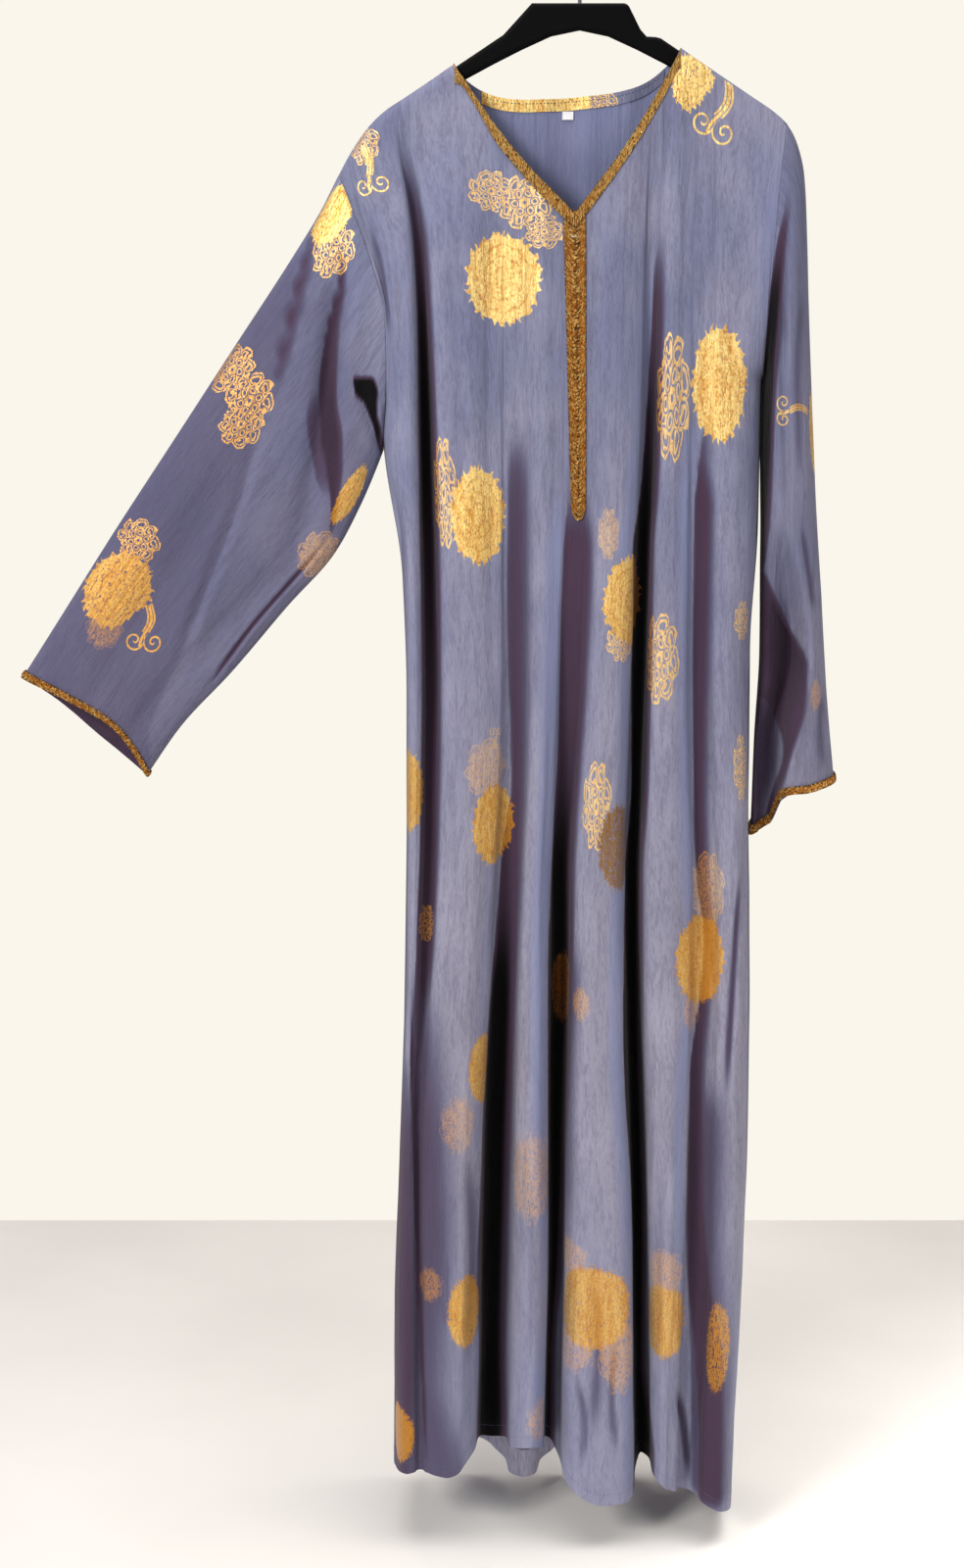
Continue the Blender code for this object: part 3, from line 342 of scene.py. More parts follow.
BACK_TROUGHS = [Trough(BACK, *row) for row in (
    (((-170, 300), (-160, 420), (-166, 560)), 2.4, 8),
    (((-96, 260), (-90, 420), (-96, 620)), 2.0, 9),
    (((-10, 240), (-4, 380), (-12, 560)), 1.8, 10),
    (((72, 250), (66, 400), (74, 590)), 2.0, 9),
    (((150, 270), (144, 420), (152, 560)), 2.2, 8),
    (((-92, 1120), (-84, 1300), (-94, 1500)), 2.6, 7),
    (((-16, 1180), (-6, 1340), (-14, 1520)), 2.2, 6),
    (((76, 1200), (68, 1350), (78, 1540)), 2.4, 7),
    (((154, 1000), (148, 1200), (156, 1420)), 2.4, 6),
)]
RIGHT_SLEEVE_TROUGHS = [Trough(FRONT, *row) for row in (
    (((-259, 270), (-279, 348), (-300, 425)), 2.0, 6, 0),
    (((-232, 307), (-243, 376), (-249, 448), (-246, 516), (-242, 565)), 4.0, 10, 0),
    (((-312, 458), (-338, 536), (-360, 595), (-386, 659), (-411, 739)), 3.0, 5, 0.24),
    (((-466, 694), (-487, 734), (-504, 764)), 1.4, 8, 0.2),
    (((-242, 575), (-286, 624), (-332, 676), (-388, 752)), 2.2, 2.2, 0.6),
    (((-219, 427), (-210, 458), (-193, 503)), 3.0, 5, 0),
)] + [Trough(BACK, *row) for row in (
    (((-270, 330), (-320, 430), (-372, 540)), 3.0, 8),
    (((-300, 520), (-356, 610), (-420, 700)), 3.2, 7),
    (((-430, 560), (-468, 640), (-500, 700)), 1.8, 8),
)]
LEFT_SLEEVE_TROUGHS = [Trough(FRONT, *row) for row in (
    (((206, 230), (200, 330), (204, 430)), 1.2, 6, 0.22),
    (((222, 300), (216, 420), (222, 560)), 1.4, 7, 0.22),
    (((185, 606), (209, 656), (236, 710), (220, 800), (203, 871)), -1.6, 3.2, 0.0),
    (((181, 610), (204, 660), (230, 710), (214, 800), (198, 867)), 0.6, 1.3, 0.55),
    (((250, 724), (247, 775), (252, 831)), 1.6, 5, 0.26),
    (((220, 556), (231, 615), (241, 674)), 1.4, 4, 0.3),
)] + [Trough(BACK, *row) for row in (
    (((208, 260), (202, 400), (210, 560)), 2.6, 8),
    (((224, 500), (220, 640), (232, 800)), 2.8, 7),
)]

# The print: for each kind of motif, rows of its place as x and drop, its radius, its turn in degrees, how
# worn it is and how narrow, and on a sleeve the side that it lies on
FLOWER = 1
OUTLINE = 2
SCROLL = 3
# A dim flower is one whose foil has painted shade on it
DIM_FLOWER = 4
Motif = namedtuple("Motif", "kind x drop radius turn wear narrow side", defaults=(0.1, 0.8, None))
FRONT_PRINT = [Motif(kind, *row) for kind, rows in (
    (FLOWER, ((-75, 329, 49, 0, 0, 0.85), (112, 139, 34, 20, 0.3, 0.7), (139, 431, 63, 90, 0, 0.48),
        (-99, 560, 53, 0, 0.1, 0.59), (53, 645, 49, 180, 0.1, 0.69), (-80, 872, 46, 170, 0.1, 0.67),
        (-171, 838, 46, 0, 0.15, 0.57), (125, 1011, 49, 0, 0.05, 0.78), (-94, 1123, 39, 0, 0.1, 0.61),
        (-112, 1374, 41, 0, 0.1, 0.62), (15, 1369, 46, 180, 0, 1.08), (88, 1387, 40, 0, 0.0, 1.05),
        (-183, 1508, 33, 0, 0.1, 0.86), (147, 1413, 50, 0, 0.55, 0.31))),
    (DIM_FLOWER, ((43, 895, 49, 200, 0.5, 0.5), (-11, 1045, 40, 0, 0.5, 0.44))),
    (OUTLINE, ((-47, 1233, 49, 20, 0.85, 0.83), (-120, 1178, 31, 0, 0.85, 0.65), (-87, 244, 21, 0, 0.05, 1.07),
        (-54, 255, 27, 40, 0.05, 1.03), (-35, 284, 17, 90, 0.05, 1.13), (92, 445, 64, 90, 0.35, 0.29),
        (-134, 538, 56, 0, 0.35, 0.24), (30, 579, 26, 0, 0.6, 0.42), (82, 703, 46, 30, 0.35, 0.46),
        (43, 686, 20, 0, 0.3, 0.78), (-88, 814, 31, 60, 0.65, 0.87), (19, 851, 46, 0, 0.15, 0.34),
        (-155, 974, 19, 0, 0.45, 0.79), (137, 940, 40, 0, 0.6, 0.56), (117, 1062, 26, 0, 0.75, 0.59),
        (4, 1054, 19, 0, 0.7, 0.62), (-8, 1317, 19, 0, 0.8, 1.73), (46, 1417, 46, 0, 0.7, 0.52),
        (88, 1334, 26, 20, 0.7, 1.14), (-152, 1345, 19, 0, 0.75, 0.87), (-35, 1492, 25, 0, 0.85, 0.85),
        (166, 813, 34, 0, 0.4, 0.29), (165, 665, 20, 0, 0.4, 0.52), (-5, 1416, 26, 0, 0.85, 1.32),
        (-212, 196, 22, 0, 0.0, 0.75))),
    (SCROLL, ((136, 172, 38, 205, 0.0, 0.9), (-205, 230, 29, 180, 0.0, 0.9), (-82, 782, 14, 0, 0.5, 0.9))),
) for row in rows]
BACK_PRINT = [Motif(kind, *row) for kind, rows in (
    (FLOWER, ((-150, 330, 44, 0), (-10, 250, 45, 30), (130, 320, 44, 200), (-92, 520, 46, 90),
        (66, 500, 44, 10), (-150, 740, 44, 180), (-4, 720, 46, 0), (150, 700, 44, 200), (-90, 960, 46, 60),
        (76, 940, 44, 120), (-160, 1180, 44, 0), (-8, 1170, 46, 180), (150, 1150, 44, 30), (-96, 1400, 46, 0),
        (76, 1380, 44, 90))),
    (OUTLINE, ((-122, 280, 30, 0), (24, 300, 28, 60), (158, 376, 28, 30), (-66, 586, 30, 10), (40, 446, 28, 0),
        (-122, 806, 28, 60), (24, 656, 30, 0), (124, 640, 28, 90), (-60, 900, 30, 0), (104, 1004, 28, 30),
        (-130, 1120, 28, 0), (20, 1236, 30, 0), (124, 1090, 28, 60), (-66, 1340, 28, 0), (46, 1440, 30, 20))),
    (SCROLL, ((-176, 400, 30, 20), (-20, 340, 32, 340), (110, 420, 30, 0), (-116, 610, 30, 200),
        (90, 590, 30, 160), (-20, 812, 32, 20), (172, 800, 28, 0), (-110, 1052, 30, 180), (60, 1040, 30, 0),
        (-30, 1264, 30, 30), (-116, 1490, 28, 200), (96, 1476, 28, 170))),
) for row in rows]
RIGHT_SLEEVE_PRINT = [Motif(kind, *row) for kind, rows in (
    (FLOWER, ((-467, 633, 45, 30, 0.3, 0.85), (-229, 541, 37, 40, 0.1, 0.3), (-245, 266, 36, 0, 0.05, 0.57),
        (-290, 400, 44, 0, 0.1, 0.8, BACK), (-420, 590, 46, 60, 0.1, 0.8, BACK),
        (-350, 620, 40, 120, 0.3, 0.8, BACK))),
    (OUTLINE, ((-344, 420, 28, 210, 0.0, 0.83), (-327, 448, 30, 0, 0.1, 0.8), (-337, 472, 25, 30, 0.1, 0.9),
        (-443, 586, 22, 0, 0.3, 1.06), (-262, 601, 26, 0, 0.6, 0.85), (-242, 301, 28, 0, 0.1, 0.75),
        (-482, 676, 22, 0, 0.8, 0.88), (-320, 450, 30, 0, 0.2, 0.8, BACK),
        (-450, 640, 30, 30, 0.2, 0.8, BACK))),
    (SCROLL, ((-438, 680, 32, 150, 0.1, 0.9), (-270, 470, 30, 10, 0.2, 0.9, BACK))),
) for row in rows]
LEFT_SLEEVE_PRINT = [Motif(kind, *row) for kind, rows in (
    (FLOWER, ((234, 478, 45, 90, 0.1, 0.24), (214, 320, 44, 0, 0.1, 0.8, BACK),
        (222, 600, 44, 180, 0.1, 0.8, BACK), (240, 790, 40, 0, 0.2, 0.8, BACK))),
    (OUTLINE, ((240, 741, 17, 0, 0.7, 0.5), (216, 380, 30, 40, 0.2, 0.8, BACK))),
    (SCROLL, ((209, 457, 24, 90, 0.0, 0.9), (218, 540, 30, 180, 0.2, 0.9, BACK))),
) for row in rows]
FACING_PRINT = [Motif(kind, *row) for kind, rows in (
    (FLOWER, ((-80, 154, 34, 0), (-46, 158, 34, 60), (-8, 158, 30, 120))),
    (OUTLINE, ((22, 158, 22, 0),)),
) for row in rows]

# ---- Sizes of details ----
# How far a motif reaches, in its own radii, and with what margin it is looked for; the nets' smallest steps;
# what stands where there is no motif; and how squarely cloth has to face a motif's side
PRINT_REACH = 1.35
REACH_MARGIN = 1.2
LEAST_ROW = 2.0
LEAST_COLUMN = 1.4
NO_MOTIF = (9.0, 9.0, 0.0)
FAR = 1000.0
MOTIF_FACING = 0.25
PETALS = 10
PETAL_RINGS = 4.4
RIM_TEETH = 24

# Braids: how far they lie off the cloth, rows to a cord, step along them, length of one plait, and how much
# thicker they are round a cuff
TRIM_LIFT = 0.3
BRAID_ROWS = 8
BRAID_STEP = 1.1
CORD_WIDTH = 8
PLAIT_PITCH = 4.4
CUFF_ROLL = 1.7
PLACKET_ROWS = 17
PLACKET_STEPS = 90
READ_MARGIN = 14.0

# Stitches: where a stitch is thickest, and how flat it lies
STITCH_PARTS = (0.0, 0.3, 0.7, 1.0)
STITCH_FLATNESS = 1.3
TACK_HALF_WIDTH = 4.5
TACK_STITCH = 7.6
TACK_GAP = 0.3
TACK_THREAD = 0.3
TACK_PITCH = 0.7

# Facing of the back neck, its tab, and the turned-up hems
FACING_THICKNESS = 0.8
FACING_STITCH_GAP = 1.2
FACING_THREAD = 0.28
TAB_WIDTH = 11.0
TAB_HEIGHT = 8.0
TAB_GAP = 0.8
TAB_LIFT = 0.9
TAB_CURL = 0.7
TAB_THICKNESS = 0.6
HEM_GAP = 0.15
HEM_THICKNESS = 0.6
HEM_ROW_STEP = 5.0
HEM_REACH = 1.6
HEM_STITCH_GAP = 1.3
HEM_THREAD = 0.22
BACK_TURN_UP = 2.6

# The crepe's look: the painted shade of the sleeves' inner faces and the painted cool light on the body's, the
# scales of its noise across and along the cloth, in cells a metre, the relief of its crinkle in metres, and
# pairs of heights in metres between which a look changes
SLEEVE_INSIDE_SHADE = 0.55
BODY_INSIDE_LIGHT = -0.7
CREPE_ROUGHNESS = 0.78
CRINKLE_SCALES = (560, 105)
PLEAT_SCALES = (170, 22)
GRAIN_SCALES = (2600, 2600)
CLOUD_SCALES = (14, 9)
SPECKLE_SCALES = (700, 340)
CRINKLE_RELIEF = 0.0014
GROUND_HEIGHTS = (-1.15, -0.35)
COOL_HEIGHTS = (-1.15, -1.45)
WORN_HEIGHTS = (-0.75, -1.25)
FRAYED_HEIGHTS = (-0.75, -1.2)
# Heights between which the foil's painted light at the top gives way to painted shade at the skirt
FOIL_LIGHT_HEIGHTS = (-0.95, -0.30)

# Stage, in metres and degrees
Lamp = namedtuple("Lamp", "name size place target colour spread")
LAMPS = (
    Lamp("key", 1.0, (-2.1, -2.7, 0.7), (0.0, 0.0, -0.8), (1.0, 0.985, 0.96), 180),
    Lamp("side", 1.2, (-3.0, -0.5, -0.6), (0.0, 0.0, -0.8), (0.62, 0.78, 1.0), 180),
    Lamp("fill", 1.2, (2.0, -2.7, -0.2), (0.0, 0.0, -0.8), (0.92, 0.95, 1.0), 180),
    Lamp("top", 2.6, (0.0, -0.4, 1.9), (0.0, -0.3, -1.6), (1.0, 0.98, 0.95), 180),
    Lamp("floor", 1.6, (1.5, -0.3, 0.5), (1.1, -0.3, -1.6), (1.0, 0.99, 0.97), 60),
)
FLOOR_HALF = 4.0
FLOOR_BACK = 0.93
CAMERA_PLACE = (-0.096, -2.35, -0.486)
CAMERA_DIP = 8.5
CAMERA_LENS = 85.98


# ---- Reading the form ----
def smooth_read(at, stations, values):
    """Read a short table at any place, on a smooth curve that never overshoots its rows."""
    stations = np.asarray(stations, float)
    at = np.clip(np.asarray(at, float), stations[0], stations[-1])
    return smooth_table(np.asarray(values, float), stations, at)


def read_rows(rows, at, key, value):
    """Read one column of a table of named rows, at places in another of its columns."""
    return smooth_read(at, [getattr(row, key) for row in rows], [getattr(row, value) for row in rows])


def step_lengths(points, axis=0):
    """Length of each step from one point to the next."""
    return np.linalg.norm(np.diff(points, axis=axis), axis=-1)


def running(steps, axis=0):
    """Sum of the steps up to each place, from zero at the first."""
    return np.concatenate([np.zeros_like(steps.take([0], axis)), np.cumsum(steps, axis)], axis)


def unit(vectors, least=0.0):
    """The same directions at length 1; a vector shorter than the least stays shorter than 1."""
    return vectors / np.maximum(np.linalg.norm(vectors, axis=-1, keepdims=True), least)


def ease(t):
    """Go from 0 to 1 with soft ends."""
    t = np.clip(t, 0.0, 1.0)
    return t * t * (3 - 2 * t)


def shoulder_drop(x):
    """Drop of the shoulder line, carried on over the neck as a straight slope."""
    x = np.abs(x)
    return SHOULDER_TOP + SHOULDER_SLOPE * x + SHOULDER_DROOP * np.maximum(x - SHOULDER_DROOP_FROM, 0) ** 2


def neck_drop(side, x):
    """Drop of the neckline between the two neck points."""
    if side == FRONT:
        neck_x = np.where(x < V_BOTTOM_X, NECK_RIGHT_X, NECK_LEFT_X)
        t = (x - V_BOTTOM_X) / (neck_x - V_BOTTOM_X)
        return V_BOTTOM_DROP + t * (shoulder_drop(neck_x) - V_BOTTOM_DROP) + V_BOW * 4 * t * (1 - t)
    t = (x - NECK_RIGHT_X) / (NECK_LEFT_X - NECK_RIGHT_X)
    chord = shoulder_drop(NECK_RIGHT_X) * (1 - t) + shoulder_drop(NECK_LEFT_X) * t
    return chord + BACK_NECK_DIP * (1 - (2 * t - 1) ** 4)


def top_drop(side, x):
    """Drop of a panel's top edge."""
    in_neck = (x > NECK_RIGHT_X) & (x < NECK_LEFT_X)
    return np.where(in_neck, neck_drop(side, x), shoulder_drop(x))


def edge_x(edge, drop):
    """Place of a side edge at some drop."""
    return read_rows(edge, drop, "drop", "x")


def hole_depth(drop, tip, ring):
    """How far forward or back the armhole's edge lies at some drop."""
    angle = np.arccos(np.clip(1 - 2 * (drop - tip) / (ring.under_drop - tip), -1, 1))
    return ring.half_depth * np.sin(angle) ** HOLE_POWER


def panel_depth(side, x, drop):
    """How far the smooth panel stands out from the seam plane, rolling over the shoulder first."""
    below = np.maximum(drop - shoulder_drop(x), 0)
    roll = SHOULDER_ROLL * np.sqrt(1 - (1 - np.minimum(below / SHOULDER_ROLL, 1)) ** 2)
    full = smooth_read(drop, DROPS, FRONT_DEPTH if side == FRONT else BACK_DEPTH)
    return roll + np.maximum(full - SHOULDER_ROLL, 0) * ease(below / SHOULDER_FILL)


def section(side, drops, right_top=RIGHT_HOLE.top_drop, left_top=LEFT_HOLE.top_drop):
    """Section of a panel at each drop: x and depth of every column, from -X to +X.

    The two tops are the drops at which the armholes' curves begin.
    """
    folds = FRONT_FOLDS if side == FRONT else BACK_FOLDS
    ridge_columns = FRONT_RIDGE_COLUMNS if side == FRONT else BACK_RIDGE_COLUMNS
    right_x = edge_x(RIGHT_EDGE, drops)
    left_x = edge_x(LEFT_EDGE, drops)
    right_hole = hole_depth(drops, right_top, RIGHT_HOLE)
    left_hole = hole_depth(drops, left_top, LEFT_HOLE)
    xs = []
    inward = []
    holes = []
    reach = abs(FOLD_SECTION[0][0])

    def add(x, inset, hole=0.0, share=1.0):
        xs.append(x)
        inward.append(inset)
        holes.append((hole, share))

    rows = [[smooth_read(drops, DROPS, column) for column in fold] for fold in folds]
    first_lip = rows[0][0] - reach * rows[0][2]
    last_lip = rows[-1][0] + reach * rows[-1][2]
    for way_in, share in SIDE_SECTION:
        add(right_x + (first_lip - right_x) * way_in, 0.0, right_hole, share)
    for k, (x, depth, mouth) in enumerate(rows):
        open_below = ease((drops - shoulder_drop(x) - FOLD_START) / FOLD_EASE)
        for across, share in FOLD_SECTION:
            add(x + across * mouth, depth * share * open_below)
        if k + 1 < len(rows):
            lip = x + reach * mouth
            next_lip = rows[k + 1][0] - reach * rows[k + 1][2]
            count = ridge_columns[k]
            for m in range(1, count + 1):
                t = m / (count + 1)
                crown = RIDGE_CROWN * (next_lip - lip) * 4 * t * (1 - t)
                add(lip + (next_lip - lip) * t, -crown * open_below)
    for way_in, share in reversed(SIDE_SECTION):
        add(left_x + (last_lip - left_x) * way_in, 0.0, left_hole, share)
    xs = np.stack(xs, -1)
    depths = []
    for i, (hole, share) in enumerate(holes):
        smooth = panel_depth(side, xs[:, i], drops)
        depths.append(hole + (smooth - hole) * share - inward[i])
    return xs, np.stack(depths, -1)


def column_tops(side):
    """Drop at which each column meets the panel's top edge, with one column on each neck point."""
    xs, _ = section(side, np.array([float(DROPS[0])]))
    tops = top_drop(side, xs[0])
    for _ in range(TOP_ROUNDS):
        tops = top_drop(side, np.diagonal(section(side, tops)[0]))
    x = np.diagonal(section(side, tops)[0]).copy()
    shifts = np.zeros(len(x))
    in_neck = (x > NECK_RIGHT_X) & (x < NECK_LEFT_X)
    for neck_x, inward in ((NECK_RIGHT_X, 1), (NECK_LEFT_X, -1)):
        k = int(np.argmin(np.abs(x - neck_x)))
        shifts[k] = neck_x - x[k]
        tops[k] = shoulder_drop(neck_x)
        in_neck[k] = False
        beside = neck_x + inward * NECK_TURN
        shifts[k + inward] = beside - x[k + inward]
        tops[k + inward] = neck_drop(side, np.array(beside))
    return tops, shifts, in_neck


def panel_net(side):
    """Outer points of a panel, rows from top edge to hem and columns from -X to +X."""
    tops, shifts, in_neck = column_tops(side)
    count = len(tops)
    hem_rows = FRONT_HEM if side == FRONT else BACK_HEM
    net = np.zeros((ARMHOLE_STEPS + SKIRT_STEPS + 1, count, 3))
    neck_starts = np.arange(NECK_TRIM_ROWS + 1) / NECK_TRIM_ROWS * NECK_TRIM_HEIGHT
    armhole = (1 - np.cos(np.pi * np.arange(ARMHOLE_STEPS + 1) / ARMHOLE_STEPS)) / 2
    for i in range(count):
        x0 = float(section(side, np.array([tops[i]]))[0][0, i])
        level = float(np.interp(x0, (RIGHT_HOLE.under_x, LEFT_HOLE.under_x),
                                (RIGHT_HOLE.under_drop, LEFT_HOLE.under_drop)))
        from_edge = min(i, count - 1 - i)
        weight = SIDE_ARMHOLE_SHARE[from_edge] if from_edge < len(SIDE_ARMHOLE_SHARE) else 0.0
        starts = tops[i] + (neck_starts if in_neck[i] else SHOULDER_ROWS)
        plain = np.concatenate([starts, starts[-1] + BODY_ROWS * (level - starts[-1])])
        if i == 0:
            tip, level = RIGHT_HOLE.top_drop, RIGHT_HOLE.under_drop
        elif i == count - 1:
            tip, level = LEFT_HOLE.top_drop, LEFT_HOLE.under_drop
        else:
            tip = tops[i]
        upper = weight * (tip + armhole * (level - tip)) + (1 - weight) * plain
        hem_x = float(section(side, np.array([float(DROPS[-1])]))[0][0, i])
        hem = float(read_rows(hem_rows, hem_x, "x", "drop"))
        run_in = upper[-1] + SEAM_RUN_IN
        lower = run_in + (hem - run_in) * np.arange(SKIRT_STEPS) / (SKIRT_STEPS - 1)
        drops = np.concatenate([upper, lower])
        xs, depths = section(side, drops, drops[0], drops[0])
        fade = np.exp(-(drops - drops[0]) / NECK_FADE)
        net[:, i, 0] = xs[:, i] + shifts[i] * fade
        depth = panel_depth(side, net[:, i, 0], drops) + depths[:, i] - panel_depth(side, xs[:, i], drops)
        net[:, i, 1] = side * (SEAM_GAP / 2 + depth)
        net[:, i, 2] = -drops
    return net


def net_normals(net, closed=False):
    """Outward direction at each point of a net, long enough that an offset keeps the wall's thickness."""
    rows, columns = net.shape[:2]
    if closed:
        net = np.concatenate([net, net[:, :1]], 1)
    down = net[1:] - net[:-1]
    across = net[:, 1:] - net[:, :-1]
    faces = np.cross((down[:, :-1] + down[:, 1:]) / 2, (across[:-1] + across[1:]) / 2)
    faces = unit(faces, TINY)
    total = np.zeros((rows, columns, 3))
    corners = []
    for j in (0, 1):
        for i in (0, 1):
            part = np.zeros((rows, columns + 1, 3))
            part[j:rows - 1 + j, i:faces.shape[1] + i] = faces
            if closed:
                part[:, 0] += part[:, columns]
            corners.append(part[:, :columns])
            total += corners[-1]
    total = unit(total, TINY)
    used = [np.linalg.norm(part, axis=2) > 0.5 for part in corners]
    cosine = sum((part * total).sum(2) for part in corners) / np.maximum(sum(used), 1)
    return total / np.maximum(cosine, LEAST_COSINE)[..., None]


# ---- Dense nets ----
# Points in rows and columns, the outward direction at each, the dense rows that were rows of the sparse net
# (on a sleeve the one ring where the cuff's braid begins), and three numbers for the material
Cloth = namedtuple("Cloth", "points normals rows spread drop shade", defaults=(None, None, None, None))


def smooth_table(table, marks, at):
    """Read a table's rows at other places, on smooth curves that never overshoot the rows."""
    steps = np.diff(marks).reshape((-1,) + (1,) * (table.ndim - 1))
    rates = np.diff(table, axis=0) / steps
    slopes = np.zeros_like(table)
    product = rates[:-1] * rates[1:]
    total = rates[:-1] + rates[1:]
    slopes[1:-1] = np.where(product > 0, 2 * product / np.where(product > 0, total, 1.0), 0.0)
    slopes[0] = rates[0]
    slopes[-1] = rates[-1]
    k = np.clip(np.searchsorted(marks, at, side="right") - 1, 0, len(marks) - 2)
    h = steps[k]
    t = (at - marks[k]).reshape(h.shape) / h
    return (table[k] * (1 + 2 * t) * (1 - t) ** 2 + table[k + 1] * t * t * (3 - 2 * t)
            + h * slopes[k] * t * (1 - t) ** 2 - h * slopes[k + 1] * t * t * (1 - t))


def fine_stations(gaps, step):
    """Places of the given stations, with more between them, and which of those are the given ones."""
    marks = running(gaps)
    counts = np.maximum(1, np.round(gaps / step)).astype(int)
    between = [a + (b - a) * np.arange(n) / n for a, b, n in zip(marks[:-1], marks[1:], counts)]
    return marks, np.concatenate(between + [marks[-1:]]), running(counts)


def refine(net, row_step, column_step):
    """A net with many more rows and columns.

    Also says which of its rows are the old ones, how many old rows lie above each, and how far across each
    column is.
    """
    row_marks, row_places, rows = fine_stations(step_lengths(net).mean(1), row_step)
    net = smooth_table(net, row_marks, row_places)
    column_marks, column_places, _ = fine_stations(step_lengths(net, 1).mean(0), column_step)
    net = smooth_table(net.swapaxes(0, 1), column_marks, column_places).swapaxes(0, 1)
    parts = np.interp(row_places, row_marks, np.arange(len(row_marks)))
    return net, rows, parts, column_places


def lattice_noise(u, v, seed):
    """Smooth noise from -1 to 1 that is the same on every run."""
    left = np.floor(u)
    top = np.floor(v)

    def corner(a, b):
        value = np.sin((left + a) * 127.1 + (top + b) * 311.7 + seed * 74.7) * 43758.5453
        return (value - np.floor(value)) * 2 - 1

    along_u = ease(u - left)
    along_v = ease(v - top)
    upper = corner(0, 0) * (1 - along_u) + corner(1, 0) * along_u
    lower = corner(0, 1) * (1 - along_u) + corner(1, 1) * along_u
    return upper * (1 - along_v) + lower * along_v


def wrinkle_relief(spread, drop, seed, height):
    """Height of the lengthwise wrinkles at each place, a little taller towards the hem."""
    relief = np.zeros(np.broadcast(spread, drop).shape)
    for k, wrinkle in enumerate(WRINKLES):
        wander = WANDER.height * lattice_noise(spread / WANDER.across, drop / WANDER.along, seed + WANDER_SEED)
        relief += wrinkle.height * lattice_noise(spread / wrinkle.across + wander, drop / wrinkle.along,
                                                 seed + k)
    return height * relief * (WRINKLE_AT_TOP + WRINKLE_GROWTH * ease(drop / WRINKLE_DROP))


def trough_relief(points, normals, troughs):
    """Height of the creases, each a soft trough between low banks, and how dark their painted shade is."""
    x = points[..., 0]
    drop = -points[..., 2]
    relief = np.zeros(x.shape)
    shade = np.zeros(x.shape)
    for trough in troughs:
        xs, drops = zip(*trough.line)
        height = drops[-1] - drops[0]
        away = np.abs(x - smooth_read(drop, drops, xs)) * height / math.hypot(xs[-1] - xs[0], height)
        fade = TROUGH_END * height
        ends = ease((drop - drops[0]) / fade) * ease((drops[-1] - drop) / fade)
        facing = np.clip(normals[..., 1] * trough.side * TROUGH_FACING, 0, 1)
        dip = np.exp(-(away / trough.width) ** 2)
        bank = np.exp(-((away - BANK_PLACE * trough.width) / (BANK_WIDTH * trough.width)) ** 2)
        relief -= trough.depth * ends * facing * (dip - BANK_HEIGHT * bank)
        shade = np.maximum(shade, trough.tone * ends * facing * dip)
    return relief, shade


def band_shade(x, drop, bands):
    """How deep in painted shade each place lies, or below zero how blue the painted cool light makes it."""
    shade = np.zeros(x.shape)
    blue = np.zeros(x.shape)
    for soft, cool, rows in bands:
        drops, *columns = zip(*rows)
        left, right, tone = (smooth_read(drop, drops, column) for column in columns)
        within = ease((x - left) / soft + 0.5) * ease((right - x) / (3 * soft) + 0.5)
        shown = (ease((drop - drops[0] + BAND_END) / BAND_END)
                 * ease((drops[-1] + 2 * BAND_END - drop) / BAND_END))
        shade = np.maximum(shade, tone * within * shown)
        beside = ease((x - left + BLUE_REACH) / BLUE_FADE) * (x < left + soft)
        blue = np.maximum(blue, cool * np.minimum(tone * 2, 1) * beside * shown)
    return np.clip(shade, 0, 1) - blue * ease(1 - shade / BLUE_LIMIT)


def back_shade(inset, drop, spread):
    """How deep in shade the back's folds lie: where they turn in, away from chest, hem and side seams."""
    off_seams = (ease((spread - SHADE_SEAM_GAP) / SHADE_SEAM_RUN)
                 * ease((spread[-1] - spread - SHADE_SEAM_GAP) / SHADE_SEAM_RUN))
    return (ease((inset - SHADE_INSET) / SHADE_INSET_RUN) * ease((drop - SHADE_TOP) / SHADE_TOP_RUN)
            * ease((SHADE_HEM - drop) / SHADE_HEM_RUN) * SHADE_TONE * off_seams)


def armhole_normals(ring, side, parts):
    """Directions shared by panel and sleeve along the armhole, at places from 0 at the tip to 1."""
    inward, down = ring.under_x - ring.top_x, ring.under_drop - ring.top_drop
    half = math.hypot(inward, down) / 2
    chord = np.array([inward, 0.0, -down]) / (2 * half)
    angles = np.pi * parts[:, None]
    return unit(np.array([0, side, 0]) * (np.sin(angles) / ring.half_depth) - chord * (np.cos(angles) / half))


